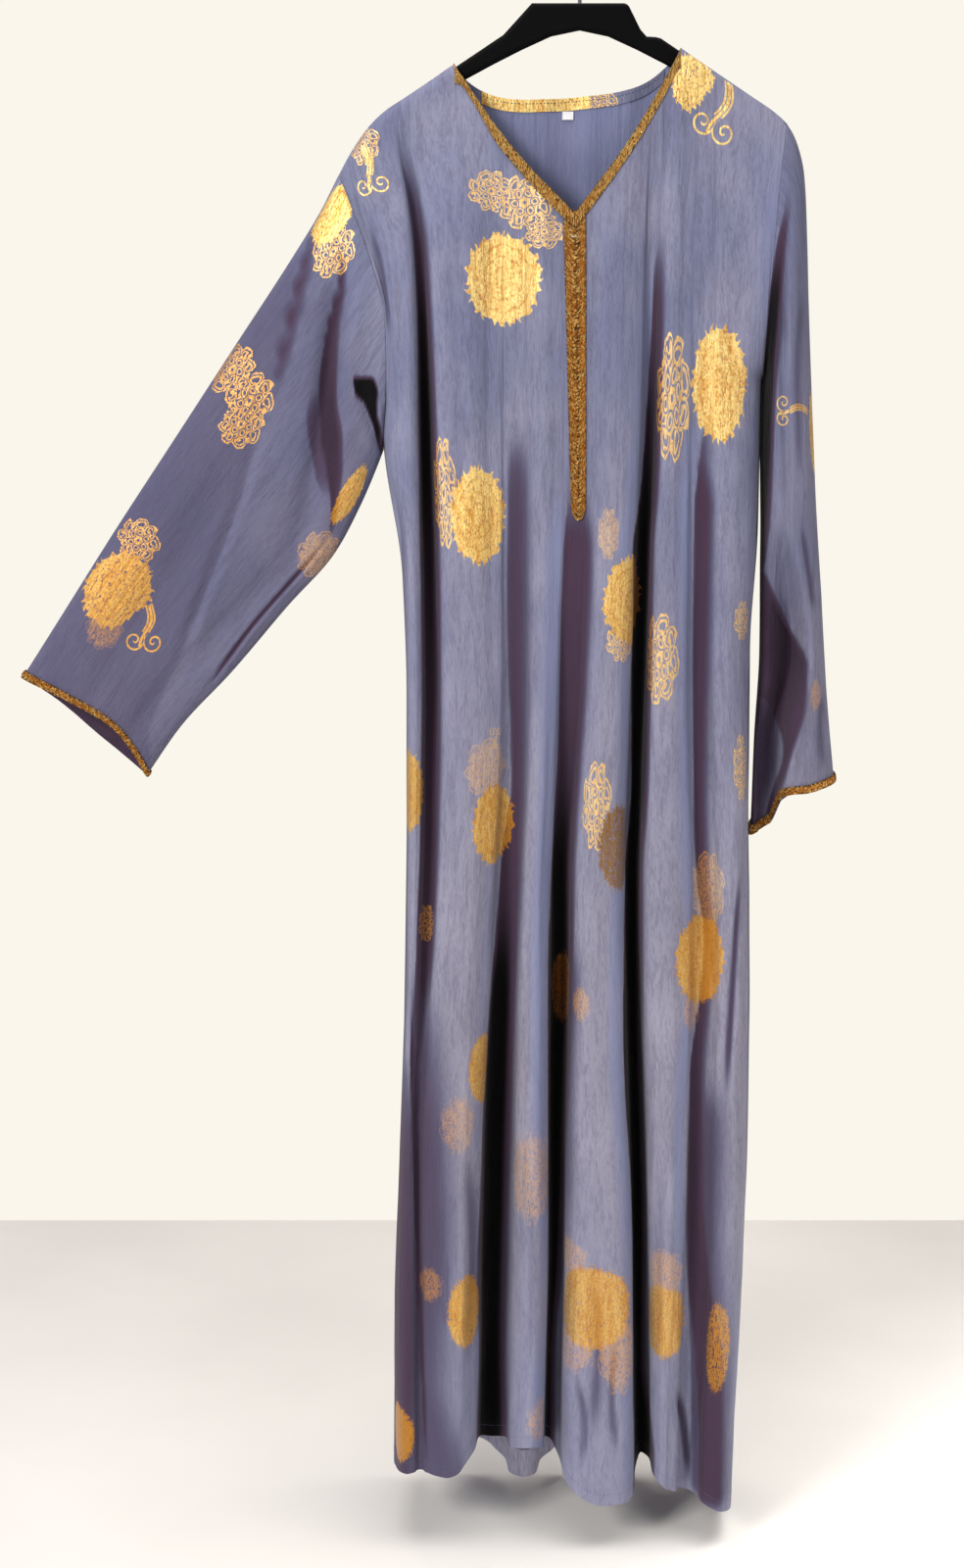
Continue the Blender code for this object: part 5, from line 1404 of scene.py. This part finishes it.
def make_crepe(name, settings):
    """Crinkled crepe with painted shade in its crinkle and folds, painted cool light beside them, and foil
    where printed.
    """
    material, tree = new_material(name, CREPE_ROUGHNESS, sheen=settings.sheen, specular=0.12)
    shader = feed(tree, tree.nodes["Principled BSDF"], Sheen_Roughness=0.45)
    # The third number of the cloth is painted shade above zero and painted cool light below zero
    across, along, fold = attribute(tree, "cloth")
    height = height_of(tree)

    crinkle = cloth_noise(across, along, CRINKLE_SCALES, detail=3.0, roughness=0.6, distortion=0.8)
    pleat = cloth_noise(across, along, PLEAT_SCALES, distortion=0.5)
    grain = cloth_noise(across, along, GRAIN_SCALES, detail=1.0)
    cloud = cloth_noise(across, along, CLOUD_SCALES)

    ground = tint(step_up(height, *GROUND_HEIGHTS), settings.low_colour, settings.top_colour)
    ground = tint(step_up(cloud, 0.25, 0.8) * 0.35, ground, settings.pale_colour)
    # Painted shade in the valleys of the crinkle
    valleys = 1 - step_up(crinkle * 0.6 + pleat * 0.4, 0.34, 0.60)
    ground = tint(valleys * 0.40, ground, settings.shade_colour)
    # Painted cool light beside the folds and on the body's inner faces, and a bluer colour near the hem
    cool = greater(step_up(height, *COOL_HEIGHTS) * 0.45, step_up(fold, 0.0, -0.9))
    ground = tint(cool * 0.8, ground, settings.cool_colour)
    # Painted shade: dusk where the cloth faces away from the light, purple where a fold turns in, black at its
    # bottom
    ground = tint(step_up(fold, 0.0, 0.30) * 0.85, ground, settings.dusk_colour)
    ground = tint(step_up(fold, 0.16, 0.45) * 0.85, ground, settings.fold_colour)
    ground = tint(step_up(fold, 0.45, 0.92), ground, settings.deep_colour)

    masks = []
    covers = []
    speckle = cloth_noise(across, along, SPECKLE_SCALES)
    for label in ("print_a", "print_b"):
        x, y, code = attribute(tree, label)
        kind = reckon(tree, "FLOOR", code)
        wear = greater(step_up(height, *WORN_HEIGHTS) * 0.15, code - kind)
        wobble = noise(tree, join(tree, x * 3.0, y * 3.0, kind), detail=1.0)
        radius = reckon(tree, "SQRT", x * x + y * y) + (wobble - 0.5) * 0.16
        angle = reckon(tree, "ARCTAN2", y, x) + (wobble - 0.5) * 0.8
        if label == "print_a":
            dim = is_kind(kind, DIM_FLOWER)
            is_flower = greater(is_kind(kind, FLOWER), dim)
            low = step_up(height, *FRAYED_HEIGHTS)
            frayed = radius + (speckle - 0.5) * (low * 0.5 + wear * 0.5)
            flower, petal_edge = solid_flower(frayed, angle, 0.12 - low * 0.07)
            petal_edge = petal_edge * is_flower * (1 - low * 0.7)
            shape = greater(flower * is_flower, scroll(x, y) * is_kind(kind, SCROLL))
            worn = crinkle * 0.45 + speckle * 0.55 - petal_edge * 0.04 - wear * 0.20
        else:
            rubbed = step_up(code - kind, 0.45, 0.75)
            patch = (radius + (speckle - 0.5) * 0.9 < 0.85) * rubbed
            lines = outline_flower(radius, angle) * (1 - rubbed * 0.6)
            shape = greater(lines, patch * 0.85) * is_kind(kind, OUTLINE)
            worn = crinkle * 0.45 + speckle * 0.55 - wear * 0.16
        masks.append(shape)
        covers.append(shape * step_up(worn, 0.29, 0.40) * (1 - step_up(wear, 0.4, 0.9) * 0.3))
    foil = greater(covers[0], covers[1]) * settings.foil_cover
    # Painted highlights where the foil's crinkle rises, painted shade in its creases
    glint = step_up(crinkle * 0.35 + speckle * 0.4 + pleat * 0.25 - petal_edge * 0.06, 0.36, 0.60)
    gold = tint(glint, settings.foil_shade, settings.foil_light)
    # Painted light on the foil near the top, painted shade on it lower down
    foil_in_shade = tint(masks[0] * 0.55, gold, settings.dull_foil)
    gold = tint(step_up(height, *FOIL_LIGHT_HEIGHTS), foil_in_shade, gold)
    gold = tint(masks[1] * (1 - covers[0]) * 0.6, gold, settings.outline_colour)
    gold = tint(rubbed * (1 - covers[0]) * 0.75, gold, settings.rubbed_foil)
    # Painted shade on the dim flowers' foil
    gold = tint(dim * masks[0] * 0.7, gold, settings.dim_foil)
    # Painted shade on foil in the folds
    gold = tint(step_up(fold, 0.02, 0.35) * 0.8, gold, settings.dull_foil)
    gold = tint(step_up(fold, 0.35, 0.95) * 0.85, gold, settings.dim_foil)
    ground = tint(foil, ground, gold)
    feed(tree, shader, Metallic=foil * 0.45)
    return finish_material(material, ground, crinkle * 0.55 + pleat * 0.9 + grain * 0.08, CRINKLE_RELIEF,
                           settings.crinkle, CREPE_ROUGHNESS - foil * 0.36)


def make_braid_material(name, settings):
    """Braid of metallic thread: painted shade between its strands, gold with painted glints on top of them."""
    material, tree = new_material(name, 0.45, metallic=0.6, specular=0.3)
    along, across, height = attribute(tree, "cloth")
    distance, chance = cells(tree, join(tree, along, across), 850)
    thread = cloth_noise(along, across, (2600, 900))
    # Painted shade between the strands, gold on top of them
    base = tint(step_up(height, 0.45, 0.95), settings.dark_colour, settings.light_colour)
    paler = step_up(height_of(tree), -0.32, -0.20)
    base = tint(paler * 0.28, base, settings.glint_colour)
    # Painted glints on random threads
    base = tint(step_up(chance + paler * 0.1, 0.68, 0.86), base, settings.glint_colour)
    base = tint(step_up(chance, 0.0, 0.34), settings.dark_colour, base)
    return finish_material(material, base, thread * 0.5 + distance * 600, 0.0004, 0.9,
                           0.6 - step_up(chance, 0.6, 0.95) * 0.3)


def make_thread_material(name, colour):
    """Twisted sewing thread."""
    material, tree = new_material(name, 0.6, sheen=0.2)
    twist = noise(tree, own_place(tree), 1800, 1.0)
    shade = tuple(c * 0.6 for c in colour)
    return finish_material(material, tint(twist, shade, colour), twist, 0.0002, 0.6)


def make_band_material(name, pale, dark):
    """Plain crinkled cloth of a turned-up edge, or a woven tape."""
    material, tree = new_material(name, 0.85, sheen=0.15, specular=0.3)
    across, along, _ = attribute(tree, "cloth")
    weave = cloth_noise(across, along, (900, 900))
    ribs = cloth_noise(across, along, (500, 60))
    mixed = step_up(ribs * 0.7 + weave * 0.3, 0.3, 0.7)
    return finish_material(material, tint(mixed, dark, pale), mixed, 0.0004, 0.7)


def make_plastic(name):
    """Matt black moulding: faint mould grain, rubbed paler and smoother along its edges."""
    material, tree = new_material(name, 0.5, specular=0.08)
    place = own_place(tree)
    grain = noise(tree, place, 1600, 2.0)
    scuffs = noise(tree, place, 60, 4.0, 0.7)
    edge = Wire(tree, tree.nodes.new("ShaderNodeNewGeometry").outputs["Pointiness"])
    rubbed = step_up(edge, 0.52, 0.60) * step_up(scuffs, 0.4, 0.7)
    colour = tint(greater(rubbed, step_up(scuffs, 0.66, 0.8) * 0.4), linear(2, 2, 3), linear(14, 14, 16))
    return finish_material(material, colour, grain, 0.0001, 0.5, 0.58 - rubbed * 0.2 + (scuffs - 0.5) * 0.15)


def make_chrome(name):
    """Chromed wire with fine rub marks."""
    material, tree = new_material(name, 0.16, metallic=1.0)
    place = own_place(tree)
    marks = noise(tree, place, 900, 3.0, 0.7)
    haze = noise(tree, place, 90, 2.0)
    colour = tint(haze, linear(176, 178, 182), linear(208, 210, 214))
    return finish_material(material, colour, marks, 0.00005, 0.4, 0.12 + marks * 0.18)


def make_ground(name, pale, dark, scale):
    """Plain pale painted surface, faintly uneven."""
    material, tree = new_material(name, 0.9, specular=0.2)
    place = own_place(tree)
    colour = tint(step_up(noise(tree, place, scale, 3.0), 0.3, 0.7), dark, pale)
    return finish_material(material, colour, noise(tree, place, 220), 0.0003, 0.2)


# ---- Settings ----
def colour_setting(name, description, *values):
    """Colour, given as it looks on screen from 0 to 255."""
    return FloatVectorProperty(name=name, description=description, subtype="COLOR", size=3, min=0.0, max=1.0,
                               default=linear(*values))


def share_setting(name, description, default, highest=1.0):
    """Slider that starts at nothing."""
    return FloatProperty(name=name, description=description, default=default, min=0.0, max=highest,
                         subtype="FACTOR")


def length_setting(name, description, default, lowest, highest):
    """Length in metres, given in millimetres."""
    return FloatProperty(name=name, description=description, default=default * MM, min=lowest * MM,
                         max=highest * MM, unit="LENGTH", subtype="DISTANCE")


def power_setting(name, description, default):
    """Power of a light in watts."""
    return FloatProperty(name=name, description=description, default=default, min=0.0, max=1000.0, unit="POWER")


class ROBE_PG_cloth(bpy.types.PropertyGroup):
    wrinkle: share_setting("Wrinkle height", "Height of the wrinkles, as a share of the usual", 1.0, 2.0)
    crinkle: share_setting("Crinkle", "Strength of the fine crinkle in the crepe", 0.85)
    sheen: share_setting("Sheen", "Soft sheen of the crepe", 0.09)
    foil_cover: share_setting("Foil cover", "How much of the foil print is left on the cloth", 1.0)
    thickness: length_setting("Cloth thickness", "Thickness of the shown cloth", 0.7, 0.3, 1.4)
    top_colour: colour_setting("Top colour", "Colour of the cloth at the shoulders", 112, 117, 146)
    low_colour: colour_setting("Skirt colour", "Colour of the cloth at the skirt", 139, 138, 156)
    pale_colour: colour_setting("Pale colour", "Colour of the cloth's lightest clouds", 176, 172, 190)
    shade_colour: colour_setting("Crinkle shade", "Colour in the valleys of the crinkle", 74, 64, 92)
    # The cool colour is painted cool light beside the folds and on the body's inner faces, and the bluer colour
    # near the hem
    cool_colour: colour_setting("Cool colour", "Colour beside a fold and near the hem", 123, 130, 166)
    dusk_colour: colour_setting("Dusk colour", "Colour of the cloth that faces away from the light",
                                76, 74, 102)
    # The fold and deep fold colours are painted shade: purple where a fold turns in, black at its bottom
    fold_colour: colour_setting("Fold colour", "Colour where a fold turns in", 66, 44, 62)
    deep_colour: colour_setting("Deep fold colour", "Colour at the bottom of a fold", 3, 2, 4)
    # Foil light and foil shade are the foil's painted highlights and painted shade
    foil_light: colour_setting("Foil light", "Lit colour of the gold foil", 255, 230, 150)
    foil_shade: colour_setting("Foil shade", "Colour of the gold foil in its creases", 206, 140, 48)
    # The shaded foil is painted shade on the foil at the skirt and in the folds
    dull_foil: colour_setting("Dull foil", "Colour of the foil at the skirt", 176, 114, 32)
    rubbed_foil: colour_setting("Rubbed foil", "Colour of foil outlines that are rubbed away", 196, 150, 118)
    dim_foil: colour_setting("Dim foil", "Colour of the foil in shade", 86, 46, 18)
    outline_colour: colour_setting("Outline colour", "Colour of the thin foil outlines", 214, 174, 128)


class ROBE_PG_trim(bpy.types.PropertyGroup):
    thickness: length_setting("Braid thickness", "Thickness of the gold braid", 1.5, 0.5, 1.8)
    stitch_length: length_setting("Stitch length", "Length of one sewn stitch", 2.4, 1.0, 6.0)
    hem_width: length_setting("Hem width", "Width of the turned-up band inside the hem", 12.0, 4.0, 40.0)
    # The braid shade is painted shade between the strands and the colour of the darkest threads; the glint is
    # painted glints
    dark_colour: colour_setting("Braid shade", "Colour between the strands of the braid", 78, 46, 18)
    light_colour: colour_setting("Braid colour", "Colour on top of the strands", 214, 138, 50)
    glint_colour: colour_setting("Braid glint", "Colour of the brightest threads", 255, 218, 134)


class ROBE_PG_stage(bpy.types.PropertyGroup):
    key_power: power_setting("Key light", "Power of the main light, at the front left", 91.0)
    side_power: power_setting("Side light", "Power of the cool light at the far left", 16.0)
    fill_power: power_setting("Fill light", "Power of the weak light at the front right", 11.0)
    top_power: power_setting("Top light", "Power of the light above, which falls on the floor", 66.0)
    floor_power: power_setting("Floor light", "Power of the narrow light over the floor at the right", 9.0)
    room_light: FloatProperty(name="Room light", description="Strength of the even light all round",
                              default=0.22, min=0.0, max=3.0)
    floor_drop: length_setting("Floor drop", "How far the floor lies below the hook", 1630, 1610, 3000)
    floor_colour: colour_setting("Floor colour", "Colour of the floor", 250, 247, 241)
    room_colour: colour_setting("Room colour", "Colour of the even light all round", 255, 240, 236)
    backdrop_colour: colour_setting("Backdrop colour", "Colour seen behind the garment", 250, 246, 236)


def settings_of(group):
    """The scene's settings of one group."""
    return getattr(bpy.context.scene, "robe_" + group)


def material_for(name, maker, *values):
    """A material of that name, made once."""
    return bpy.data.materials.get(name) or maker(name, *values)


def piece(name):
    """A finished piece; a step that needs one that isn't there stops."""
    obj = bpy.data.objects.get(name)
    if obj is None:
        raise RuntimeError("make " + name + " first")
    return obj


# ---- Steps ----
class ROBE_OT_body_panels(bpy.types.Operator):
    """Front and back of the robe, as thin wrinkled cloth on the solids' form"""
    bl_idname = "robe.body_panels"
    bl_label = "Body panels"

    def execute(self, context):
        for name, side, motifs, node in (("robe_front", FRONT, FRONT_PRINT, "front_panel"),
                                         ("robe_back", BACK, BACK_PRINT, "back_panel")):
            cloth, _ = panel_cloth(side, settings_of("cloth").wrinkle)
            obj = make_cloth(name, cloth, motifs, side, closed=False)
            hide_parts(node)
        return {"FINISHED"}


class ROBE_OT_sleeves(bpy.types.Operator):
    """Both sleeves, joined to the body's own armhole edges"""
    bl_idname = "robe.sleeves"
    bl_label = "Sleeves"

    def execute(self, context):
        for side, motifs in (("right", RIGHT_SLEEVE_PRINT), ("left", LEFT_SLEEVE_PRINT)):
            cloth = sleeve_cloth(side, settings_of("cloth").wrinkle)
            obj = make_cloth("robe_sleeve_" + side, cloth, motifs, FRONT, closed=True, shift=SLEEVE_SHIFT)
            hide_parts(side + "_sleeve")
        return {"FINISHED"}


def neck_columns(cloth, low_x, high_x):
    """First and last column of a panel's top edge between two places."""
    x = cloth.points[0, :, 0]
    inside = np.flatnonzero((x >= low_x - 0.01) & (x <= high_x + 0.01))
    return int(inside[0]), int(inside[-1])


class ROBE_OT_neck_facing(bpy.types.Operator):
    """Facing inside the back of the neck, and the blank size tab under it"""
    bl_idname = "robe.neck_facing"
    bl_label = "Neck facing and tab"

    def execute(self, context):
        cloth_settings = settings_of("cloth")
        crepe = material_for("printed_crepe", make_crepe, cloth_settings)
        cloth, _ = panel_cloth(BACK, cloth_settings.wrinkle)
        first, last = neck_columns(cloth, FACING_FROM_X, FACING_TO_X)
        low = cloth_settings.thickness / MM + TRIM_LIFT
        rows = slice(0, cloth.rows[FACING_ROWS] + 1)
        points = cloth.points[rows, first:last + 1]
        normals = cloth.normals[rows, first:last + 1]
        near = points - normals * low
        far = points - normals * (low + FACING_THICKNESS)
        layers = place_motifs(Cloth(far, -normals), FACING_PRINT, FRONT, closed=False)
        obj = make_shell("facing_back_neck", far, near, crepe, False, None, layers)
        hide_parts("back_neck_facing")

        thread = material_for("dark_thread", make_thread_material, linear(52, 46, 84))
        seam = far[-3, :].copy()
        stitch = settings_of("trim").stitch_length / MM
        obj = make_stitches("stitches_facing", seam, -normals[-3], stitch, FACING_STITCH_GAP, FACING_THREAD,
                            thread)

        tape = material_for("white_tape_weave", make_band_material, linear(252, 252, 254),
                            linear(226, 226, 232))
        top = float(np.interp(TAB_X, far[-1, :, 0], -far[-1, :, 2])) + TAB_GAP
        read = panel_reader(cloth, TAB_X - TAB_WIDTH, TAB_X + TAB_WIDTH)
        xs = np.linspace(TAB_X - TAB_WIDTH / 2, TAB_X + TAB_WIDTH / 2, 13)
        drops = np.linspace(top, top + TAB_HEIGHT, 9)
        grid_x, grid_drop = np.meshgrid(xs, drops)
        depth = read(grid_x, grid_drop) - low - TAB_LIFT
        curl = (TAB_CURL * ease((grid_drop - top) / TAB_HEIGHT) ** 2
                * np.cos((grid_x - TAB_X) / TAB_WIDTH * np.pi))
        back = np.stack([grid_x, depth - curl, -grid_drop], -1)
        obj = make_shell("tab_size", back - (0, TAB_THICKNESS, 0), back, tape)
        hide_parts("size_tab")
        return {"FINISHED"}


def panel_reader(cloth, low_x, high_x):
    """Function that gives a panel's depth at places between two x, for arrays of x and drop."""
    x = cloth.points[..., 0]
    row = cloth.rows[NECK_TRIM_ROWS]
    inside = np.flatnonzero((x[row] > low_x - READ_MARGIN) & (x[row] < high_x + READ_MARGIN))
    columns = range(max(inside[0] - 1, 0), min(inside[-1] + 2, x.shape[1]))

    def read(at_x, at_drop):
        flat_x, flat_drop = np.ravel(at_x), np.ravel(at_drop)
        xs, ys = (np.stack([np.interp(flat_drop, -cloth.points[:, k, 2], cloth.points[:, k, a])
                            for k in columns]) for a in (0, 1))
        depth = [np.interp(flat_x[n], xs[:, n], ys[:, n]) for n in range(len(flat_x))]
        return np.reshape(depth, np.shape(at_x))
    return read


def placket_strip(cloth):
    """Points of the front under the placket's braid, from edge to edge and from the V down."""
    read = panel_reader(cloth, -PLACKET_TOP_WIDTH, PLACKET_TOP_WIDTH)
    lower_edge = cloth.points[cloth.rows[NECK_TRIM_ROWS]]
    across = np.linspace(-0.5, 0.5, PLACKET_ROWS)[:, None]
    down = np.linspace(0, 1, PLACKET_STEPS)[None, :]
    middle = V_BOTTOM_X + (PLACKET_BOTTOM_X - V_BOTTOM_X) * down
    x = middle + across * (PLACKET_TOP_WIDTH + (PLACKET_BOTTOM_WIDTH - PLACKET_TOP_WIDTH) * down)
    start = PLACKET_GAP - np.interp(x, lower_edge[:, 0], lower_edge[:, 2])
    end = PLACKET_BOTTOM_DROP - 4 * PLACKET_END * across ** 2
    drop = start + (end - start) * down
    return np.stack([x, read(x, drop), -drop], -1)


class ROBE_OT_braids(bpy.types.Operator):
    """Gold braid round the neck, down the front slit and round both cuffs"""
    bl_idname = "robe.braids"
    bl_label = "Braids"

    def execute(self, context):
        cloth_settings, trim = settings_of("cloth"), settings_of("trim")
        braid = material_for("gold_braid_thread", make_braid_material, trim)
        thickness = trim.thickness / MM
        cloth, _ = panel_cloth(FRONT, cloth_settings.wrinkle)
        rows = slice(0, cloth.rows[NECK_TRIM_ROWS] + 1)
        x = cloth.points[0, :, 0]
        bottom = int(np.argmin(cloth.points[0, :, 2] + FAR * (np.abs(x - V_BOTTOM_X) > V_REACH)))
        for name, first, last, tip, beside, outward in (
                ("right", neck_columns(cloth, NECK_RIGHT_X, 0)[0], bottom, 0, 1, -1),
                ("left", bottom, neck_columns(cloth, 0, NECK_LEFT_X)[1], -1, -2, 1)):
            points = cloth.points[rows, first:last + 1].copy()
            normals = cloth.normals[rows, first:last + 1]
            points[:, -1 - tip, 0] += outward * SEAM_GAP / 2
            points[1:, tip] = points[0, tip] + points[1:, beside] - points[0, beside]
            obj = make_braid("braid_neck_" + name, points, normals, 1, thickness, braid)
            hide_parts("neck_trim_" + name)

        points = placket_strip(cloth)
        forward = (0.0, -1.0, 0.0)
        normals = np.broadcast_to(forward, points.shape)
        obj = make_braid("braid_placket", points, normals, 2, thickness, braid)
        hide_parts("placket_trim")
        top = points[PLACKET_ROWS // 2, 2] - (0, TRIM_LIFT + thickness, 0)
        bar = np.stack([top + (x, -0.2 - 0.15 * math.cos(x), -1.5)
                        for x in np.linspace(-TACK_HALF_WIDTH, TACK_HALF_WIDTH, 12)])
        tack = material_for("light_thread", make_thread_material, linear(206, 190, 160))
        for k in range(2):
            obj = make_stitches("stitches_placket_" + str(k + 1), bar - (0, 0, TACK_PITCH * k),
                                np.broadcast_to(forward, bar.shape), TACK_STITCH, TACK_GAP, TACK_THREAD, tack)

        for side in ("right", "left"):
            cloth = sleeve_cloth(side, cloth_settings.wrinkle)
            rows = slice(cloth.rows, None)
            obj = make_braid("braid_cuff_" + side, cloth.points[rows], cloth.normals[rows], 1,
                             thickness * CUFF_ROLL, braid, True)
            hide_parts("cuff_trim_" + side)
        return {"FINISHED"}


class ROBE_OT_hems(bpy.types.Operator):
    """Turned-up hem bands and the rows of stitching"""
    bl_idname = "robe.hems"
    bl_label = "Hems and stitching"

    def execute(self, context):
        cloth_settings, trim = settings_of("cloth"), settings_of("trim")
        band = material_for("hem_band", make_band_material, linear(206, 204, 226), linear(158, 154, 182))
        thread = material_for("lilac_thread", make_thread_material, linear(96, 92, 128))
        low = cloth_settings.thickness / MM + HEM_GAP
        stitch = trim.stitch_length / MM
        for name, side, turn_up in (("front", FRONT, 1.0), ("back", BACK, BACK_TURN_UP)):
            width = turn_up * trim.hem_width / MM
            cloth, _ = panel_cloth(side, cloth_settings.wrinkle)
            rise = cloth.drop[-1] - cloth.drop
            count = int((rise.mean(1) < width * HEM_REACH).sum()) + 1
            upwards = [cloth.points[-count:][::-1], cloth.normals[-count:][::-1]]
            way = running(step_lengths(upwards[0]))
            shares = np.linspace(1, 0, 3 + round(width / HEM_ROW_STEP))
            rows, row_normals = (np.array([[[np.interp(share * width, way[:, i], values[:, i, a])
                                             for a in range(3)] for i in range(way.shape[1])]
                                           for share in shares])[:, 1:-1] for values in upwards)
            row_normals = unit(row_normals)
            far = rows - row_normals * (low + HEM_THICKNESS)
            near = rows - row_normals * low
            obj = make_shell("hem_band_" + name, far, near, band)
            obj = make_stitches("stitches_hem_" + name, rows[0], row_normals[0], stitch, HEM_STITCH_GAP,
                                HEM_THREAD, thread)
        return {"FINISHED"}


class ROBE_OT_hanger(bpy.types.Operator):
    """Finish of the moulded hanger and its wire hook"""
    bl_idname = "robe.hanger"
    bl_label = "Hanger"

    def execute(self, context):
        for node, material in (("hanger_body", material_for("black_moulding", make_plastic)),
                               ("hanger_hook", material_for("chromed_hook", make_chrome))):
            obj = frame["nodes"][node]
            obj.data.materials.clear()
            obj.data.materials.append(material)
        return {"FINISHED"}


class ROBE_OT_declare(bpy.types.Operator):
    """Stop unless the neck and placket braids, the front hem band and their stitches are all made"""
    bl_idname = "robe.declare"
    bl_label = "State the sheets"

    def execute(self, context):
        stitches = [obj.name for obj in bpy.data.objects if obj.name.startswith("stitches_placket")]
        [piece(name) for name in ["braid_neck_right", "braid_neck_left", "braid_placket",
                                                       "hem_band_front", "stitches_hem_front"] + stitches]
        return {"FINISHED"}


def area_light(lamp, power):
    """Soft square light that looks at its target."""
    name = lamp.name + "_light"
    data = bpy.data.lights.new(name, "AREA")
    data.energy = power
    data.size = lamp.size
    data.color = lamp.colour
    data.spread = math.radians(lamp.spread)
    obj = show(name, data)
    obj.location = lamp.place
    obj.rotation_euler = (Vector(lamp.target) - Vector(lamp.place)).to_track_quat("-Z", "Y").to_euler()


class ROBE_OT_stage(bpy.types.Operator):
    """Pale floor, soft lights, and the camera where the photographer stood"""
    bl_idname = "robe.stage"
    bl_label = "Stage"

    def execute(self, context):
        stage = settings_of("stage")
        scene = context.scene
        mesh = bpy.data.meshes.new("floor")
        z = -stage.floor_drop
        corners = [(-FLOOR_HALF, -FLOOR_HALF, z), (FLOOR_HALF, -FLOOR_HALF, z),
                   (FLOOR_HALF, FLOOR_BACK, z), (-FLOOR_HALF, FLOOR_BACK, z)]
        mesh.from_pydata(corners, [], [(0, 1, 2, 3)])
        mesh.materials.append(material_for("pale_floor", make_ground, tuple(stage.floor_colour),
                                           tuple(c * 0.95 for c in stage.floor_colour), 3.0))
        floor = show("floor", mesh)
        for lamp in LAMPS:
            area_light(lamp, getattr(stage, lamp.name + "_power"))
        world = bpy.data.worlds.new("room")
        world.use_nodes = True
        tree = world.node_tree
        room = feed(tree, tree.nodes["Background"], Color=(*stage.room_colour, 1.0), Strength=stage.room_light)
        backdrop = feed(tree, tree.nodes.new("ShaderNodeBackground"), Color=(*stage.backdrop_colour, 1.0))
        rays = tree.nodes.new("ShaderNodeLightPath").outputs["Is Camera Ray"]
        either = feed(tree, tree.nodes.new("ShaderNodeMixShader"), rays, room.outputs[0], backdrop.outputs[0])
        feed(tree, tree.nodes["World Output"], Surface=either.outputs[0])
        scene.world = world
        scene.view_settings.view_transform = "Standard"
        data = bpy.data.cameras.new("camera")
        data.sensor_fit = "HORIZONTAL"
        data.sensor_width = 36.0
        data.lens = CAMERA_LENS
        camera = show("camera", data)
        camera.location = CAMERA_PLACE
        camera.rotation_euler = (math.radians(90 - CAMERA_DIP), 0.0, 0.0)
        scene.camera = camera
        return {"FINISHED"}


class ROBE_PT_steps(bpy.types.Panel):
    bl_label = "Crepe robe"
    bl_idname = "ROBE_PT_steps"
    bl_space_type = "VIEW_3D"
    bl_region_type = "UI"
    bl_category = "Robe"

    def draw(self, context):
        layout = self.layout
        for group in GROUPS:
            box = layout.box()
            box.label(text=group.capitalize())
            values = getattr(context.scene, "robe_" + group)
            for name in values.bl_rna.properties.keys():
                if name not in ("rna_type", "name"):
                    box.prop(values, name)
        for step in STEPS:
            layout.operator(step.bl_idname)


GROUPS = {"cloth": ROBE_PG_cloth, "trim": ROBE_PG_trim, "stage": ROBE_PG_stage}
STEPS = (ROBE_OT_body_panels, ROBE_OT_sleeves, ROBE_OT_neck_facing, ROBE_OT_braids, ROBE_OT_hems,
         ROBE_OT_hanger, ROBE_OT_declare, ROBE_OT_stage)
CLASSES = (*GROUPS.values(), *STEPS, ROBE_PT_steps)


def register():
    for entry in CLASSES:
        bpy.utils.register_class(entry)
    for name, group in GROUPS.items():
        setattr(bpy.types.Scene, "robe_" + name, PointerProperty(type=group))


def unregister():
    for name in GROUPS:
        delattr(bpy.types.Scene, "robe_" + name)
    for entry in reversed(CLASSES):
        bpy.utils.unregister_class(entry)


def main():
    register()
    for step in STEPS:
        getattr(bpy.ops.robe, step.bl_idname.split(".")[1])()


if __name__ == "__main__":
    main()
